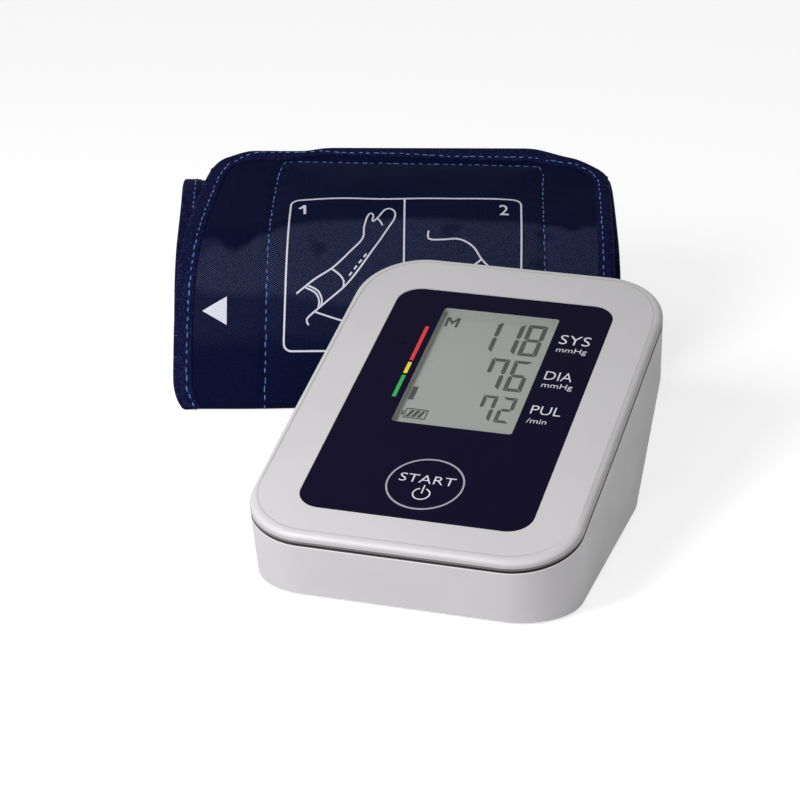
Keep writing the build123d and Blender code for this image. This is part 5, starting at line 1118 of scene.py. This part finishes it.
class CUFFMONITOR_OT_sleeve(bpy.types.Operator):
    """Padded sleeve of the cuff: outer cloth, lining and edges in one closed form"""

    bl_idname = "cuffmonitor.sleeve"
    bl_label = "Cuff sleeve"

    def execute(self, context):
        look = context.scene.cuffmonitor_cuff
        roll = Roll(look)
        width, bend = 144, 5
        share = np.linspace(-1, 1, width)
        swing = np.linspace(np.pi / 2, -np.pi / 2, bend + 2)[1:-1]
        level = look.thickness / 2 * (np.sin(swing) - 1)

        # the section goes round cloth, right edge, lining and left edge
        loop_share = np.concatenate([share, np.ones(bend), share[::-1], -np.ones(bend)])
        bulge = np.concatenate([0 * share, 0.8 * np.cos(swing), 0 * share, -0.8 * np.cos(swing)[::-1]])
        loop_level = np.concatenate([0 * share, level, 0 * share - look.thickness, level[::-1]])
        rows = np.concatenate([np.linspace(0, 130, 150, endpoint=False), np.linspace(130, roll.length - 1, 170)])

        # the outer end's curve is carried into the first rows and dies out over them
        low, high = TAIL_SIDES[0] + 0.2, TAIL_SIDES[1] - 0.2
        start = roll.tail((low + high) / 2 + ((high - low) / 2 - 1.0) * loop_share) + 1.2
        run = rows[:, None] + np.clip(1 - rows / 30.0, 0, 1)[:, None] * start
        low, high = roll.left(run) + 1.0, roll.right(run) - 1.0
        across = (low + high) / 2 + (high - low) / 2 * loop_share + bulge
        points = roll.cross(across, run, loop_level)

        rings = np.arange(across.size).reshape(across.shape)
        wall = grid_quads(np.concatenate([rings, rings[:, :1]], axis=1))[:, [1, 2, 3, 0]]
        caps = [loop_cap(rings[0], width, bend), loop_cap(rings[-1], width, bend)[:, ::-1]]
        uv = pairs(across, run).reshape(-1, 2) * MM
        sleeve = solid_mesh("cuff_sleeve", points.reshape(-1, 3), np.concatenate([wall, *caps]), uv=uv)
        cloth = woven("navy_twill", tuple(look.cloth), tuple(look.rib_sheen), band=SHEEN_BAND_FROM)
        finish_piece(sleeve, cloth, "cuff", "cuff_cloth", "cuff_outer_cloth", "cuff_lining", "cuff_bladder")
        sleeve.data.materials.append(
            woven("dark_lining", (0.008, 0.010, 0.026), (0.02, 0.025, 0.055), period=0.0011, roughness=0.8))
        lined = np.zeros(len(sleeve.data.polygons), dtype=np.int32)
        column = np.arange(len(wall)) % len(loop_share)
        lined[:len(wall)] = (column >= width + bend) & (column < 2 * width + bend - 1)
        sleeve.data.polygons.foreach_set("material_index", lined)
        return {"FINISHED"}


class CUFFMONITOR_OT_binding(bpy.types.Operator):
    """Edge tape folded round the whole cuff"""

    bl_idname = "cuffmonitor.binding"
    bl_label = "Cuff binding"

    def execute(self, context):
        look = context.scene.cuffmonitor_cuff
        roll = Roll(look)
        spots, inwards = roll.outline()
        thick, tape = look.thickness, 0.45
        swing = np.linspace(np.pi / 2, -np.pi / 2, 9)
        flat = np.array([0.97, 1.0, 0.92, 0.56, 0.21])
        share = np.concatenate([flat, 0 * swing, flat[::-1]])
        fixed = np.concatenate([0 * flat, 0.9 - 1.1 * np.cos(swing), 0 * flat])
        inset = share * roll.hem(spots, inwards)[0][:, None] + fixed
        level = np.concatenate([
            [-0.15, 0.1, tape * 0.9, tape, tape], (thick / 2 + tape) * np.sin(swing) - thick / 2,
            [-thick - tape, -thick - tape, -thick - tape * 0.9, -thick - 0.1, -thick + 0.15],
        ])
        place = spots[:, None, :] + inwards[:, None, :] * inset[:, :, None]
        points = roll.cross(place[..., 0], place[..., 1], level)
        way = np.arange(len(spots))[:, None] * OUTLINE_STEP
        uv = pairs(way, 7 * share + fixed + np.arange(len(share)) * 0.4).reshape(-1, 2) * MM
        edge = sheet_mesh("cuff_edge_tape", points, closed=True, uv=uv)
        cloth = woven("edge_tape", hexcolour("15183C"), hexcolour("5E5F92"), period=0.0008, roughness=0.7)
        finish_piece(edge, cloth, "cuff", "binding_tape", "cuff_binding")
        return {"FINISHED"}


class CUFFMONITOR_OT_stitching(bpy.types.Operator):
    """Rows of stitches round the edge and round the bladder pocket"""

    bl_idname = "cuffmonitor.stitching"
    bl_label = "Cuff stitching"

    def execute(self, context):
        look = context.scene.cuffmonitor_cuff
        roll = Roll(look)
        thread = plain_finish("blue_thread", tuple(look.thread), 0.5, (0.6, 450.0), None,
                              (3000.0, 0.4, 0.00005), Sheen_Weight=0.2)
        spots, inwards = roll.outline()
        edge = spots + inwards * roll.hem(spots, inwards)[1][:, None]
        edge = np.concatenate([edge, edge[:1]])
        down = np.arange(205.0, 11.0, -4.0)
        corner = np.linspace(0, np.pi / 2, 8)
        left, right, reach = -35.0, 52.6, 6.4
        pocket = np.concatenate([
            pairs(roll.pocket_left(down), down),
            pairs(left - reach * np.cos(corner), roll.pocket_top(left) + reach * (1 - np.sin(corner))),
            pairs(right + reach * np.sin(corner), roll.pocket_top(right) + reach * (1 - np.cos(corner))),
            pairs(roll.pocket_right(down), down)[::-1],
        ])
        for name, line, level, length in (("edge_stitches", edge, 0.5, 2.0), ("pocket_stitches", pocket, 0.1, 2.1)):
            piece = solid_mesh(name, *stitch_marks(roll, line, level, length))
            finish_piece(piece, thread, "cuff", "binding_tape")
        return {"FINISHED"}


class CUFFMONITOR_OT_print(bpy.types.Operator):
    """Printed frame, numbers, mark and plain pictograms on the cloth"""

    bl_idname = "cuffmonitor.print"
    bl_label = "Cuff print"

    def frame_lines(self):
        """Frame of two fields, leaning a little with the cloth."""
        line = rounded_frame(-37.2, 48.8, FRAME_TOP, FRAME_BOTTOM, 2.9)
        divider = np.array([(6.0, FRAME_TOP), (5.4, FRAME_BOTTOM)])
        return [line - pairs(0.028 * (line[:, 1] - 62.0), 0), divider]

    def arm_lines(self):
        """A plain arm lying palm up with a band round it, and a bent arm beside a body."""
        dash = np.array([(-8.0, 62.0), (-14.5, 70.5)])
        lines = [
            flowing((-33.5, 76.5), (-27.0, 71.5), (-20.0, 67.0), (-14.0, 61.0), (-9.5, 55.5), (-9.0, 50.0),
                    (-8.0, 44.5)),
            flowing((-28.0, 84.0), (-21.5, 78.5), (-15.5, 73.5), (-10.5, 67.5), (-5.5, 60.0), (-2.5, 55.0),
                    (0.5, 49.0)),
            flowing((-8.0, 44.5), (-6.8, 41.5), (-5.6, 43.0), (-6.0, 47.0), (-4.0, 44.5), (-1.5, 39.5), (0.8, 38.6),
                    (2.4, 41.0), (2.2, 45.0), (0.5, 49.0)),
            flowing((-4.2, 44.8), (-3.0, 46.6), (-2.2, 48.8)),
            flowing((-30.2, 74.4), (-26.6, 76.2), (-25.2, 79.0), (-25.6, 82.0)),
            flowing((-29.2, 73.7), (-25.7, 75.5), (-24.2, 78.5), (-24.6, 81.1)),
            flowing((-20.8, 67.6), (-17.8, 69.8), (-16.2, 72.2), (-16.6, 74.6)),
            flowing((-28.0, 84.0), (-29.8, 86.0), (-29.0, 88.0)),
            flowing((-26.6, 83.2), (-20.0, 85.4), (-14.0, 87.2)),
            flowing((14.8, 51.5), (14.9, 55.2), (20.0, 55.6), (26.0, 55.4), (31.0, 58.6), (34.0, 63.6), (37.0, 67.0)),
            flowing((31.0, 66.5), (34.2, 63.9)),
        ]
        for share in (0.0, 0.27, 0.54, 0.81):
            begin = dash[0] + (dash[1] - dash[0]) * share
            lines.append(np.array([begin, begin + (dash[1] - dash[0]) * 0.15]))
        return lines

    def arrow(self, tip, back, half, count=9):
        """Triangle as a grid: each row runs across it, from almost nothing at the tip to the full back edge."""
        share = np.linspace(0.02, 1, count)[:, None]
        side = np.linspace(1, -1, count)
        return pairs(tip[0] + (back - tip[0]) * share, tip[1] + half * side * share)

    def execute(self, context):
        look = context.scene.cuffmonitor_cuff
        roll = Roll(look)
        ink = plain_finish("cloth_ink", tuple(look.ink), 0.6, (0.06, 900.0), None,
                           (1400.0, 0.4, 0.00006), Specular_IOR_Level=0.25)
        one = [np.array([(-31.3, 36.2), (-31.1, 41.9)]), flowing((-31.6, 36.6), (-32.3, 37.7), (-33.2, 38.3), count=4)]
        pieces = [
            joined(name, inked_lines(roll, lines, width)) for name, lines, width in (
                ("print_frame", self.frame_lines(), 0.68), ("print_arms", self.arm_lines(), 0.64),
                ("print_one", one, 1.0),
            )
        ]
        two_base = 42.8
        pieces.append(lettering("print_two", [("2", 41.0, 0.0, 6.6, 0.0, 0.84)],
                                lambda x, y, h: roll.cross(x, two_base - y, 0.15 * np.sign(h))))
        pieces.append(joined("print_arrow", [printed_patch(roll, self.arrow((-68.0, 82.5), -59.0, 5.3))]))
        for piece in pieces:
            finish_piece(piece, ink, "cuff", "cuff_cloth")
        return {"FINISHED"}


class CUFFMONITOR_OT_pads(bpy.types.Operator):
    """Hook and loop pads between the turns"""

    bl_idname = "cuffmonitor.pads"
    bl_label = "Cuff pads"

    def execute(self, context):
        for node, colour, grain in (
            ("cuff_hook_pad", (0.008, 0.009, 0.016), 1500.0), ("cuff_loop_pad", (0.012, 0.014, 0.03), 700.0),
        ):
            pile = plain_finish(node + "_pile", colour, 0.85, (0.3, 300.0), None, (grain, 0.8, 0.0002),
                                detail=3.0, Sheen_Weight=0.08)
            wear(pile, node)
        return {"FINISHED"}


STEPS = ("stage", "case", "face", "display", "inside", "sleeve", "binding", "stitching", "print", "pads")
LOOKS = {"cuffmonitor_stage": StageLook, "cuffmonitor_case": CaseLook, "cuffmonitor_cuff": CuffLook}


class CUFFMONITOR_PT_panel(bpy.types.Panel):
    """Lists the pieces of the monitor and its cuff"""

    bl_label = "Cuff Monitor"
    bl_space_type = "VIEW_3D"
    bl_region_type = "UI"
    bl_category = "Cuff Monitor"

    def draw(self, context):
        for step in STEPS:
            self.layout.operator("cuffmonitor." + step)
        for name, look in LOOKS.items():
            box = self.layout.box()
            for key in look.__annotations__:
                box.prop(getattr(context.scene, name), key)


CLASSES = (
    *LOOKS.values(), CUFFMONITOR_OT_stage, CUFFMONITOR_OT_case, CUFFMONITOR_OT_face, CUFFMONITOR_OT_display,
    CUFFMONITOR_OT_inside, CUFFMONITOR_OT_sleeve, CUFFMONITOR_OT_binding, CUFFMONITOR_OT_stitching,
    CUFFMONITOR_OT_print, CUFFMONITOR_OT_pads, CUFFMONITOR_PT_panel,
)


def register():
    """Adds the classes and their settings to Blender."""
    for item in CLASSES:
        bpy.utils.register_class(item)
    for name, look in LOOKS.items():
        setattr(bpy.types.Scene, name, PointerProperty(type=look))


def unregister():
    """Takes them away again."""
    for name in LOOKS:
        delattr(bpy.types.Scene, name)
    for item in reversed(CLASSES):
        bpy.utils.unregister_class(item)


def main():
    """Registers the add-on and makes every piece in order."""
    register()
    for step in STEPS:
        getattr(bpy.ops.cuffmonitor, step)()


if __name__ == "__main__":
    main()
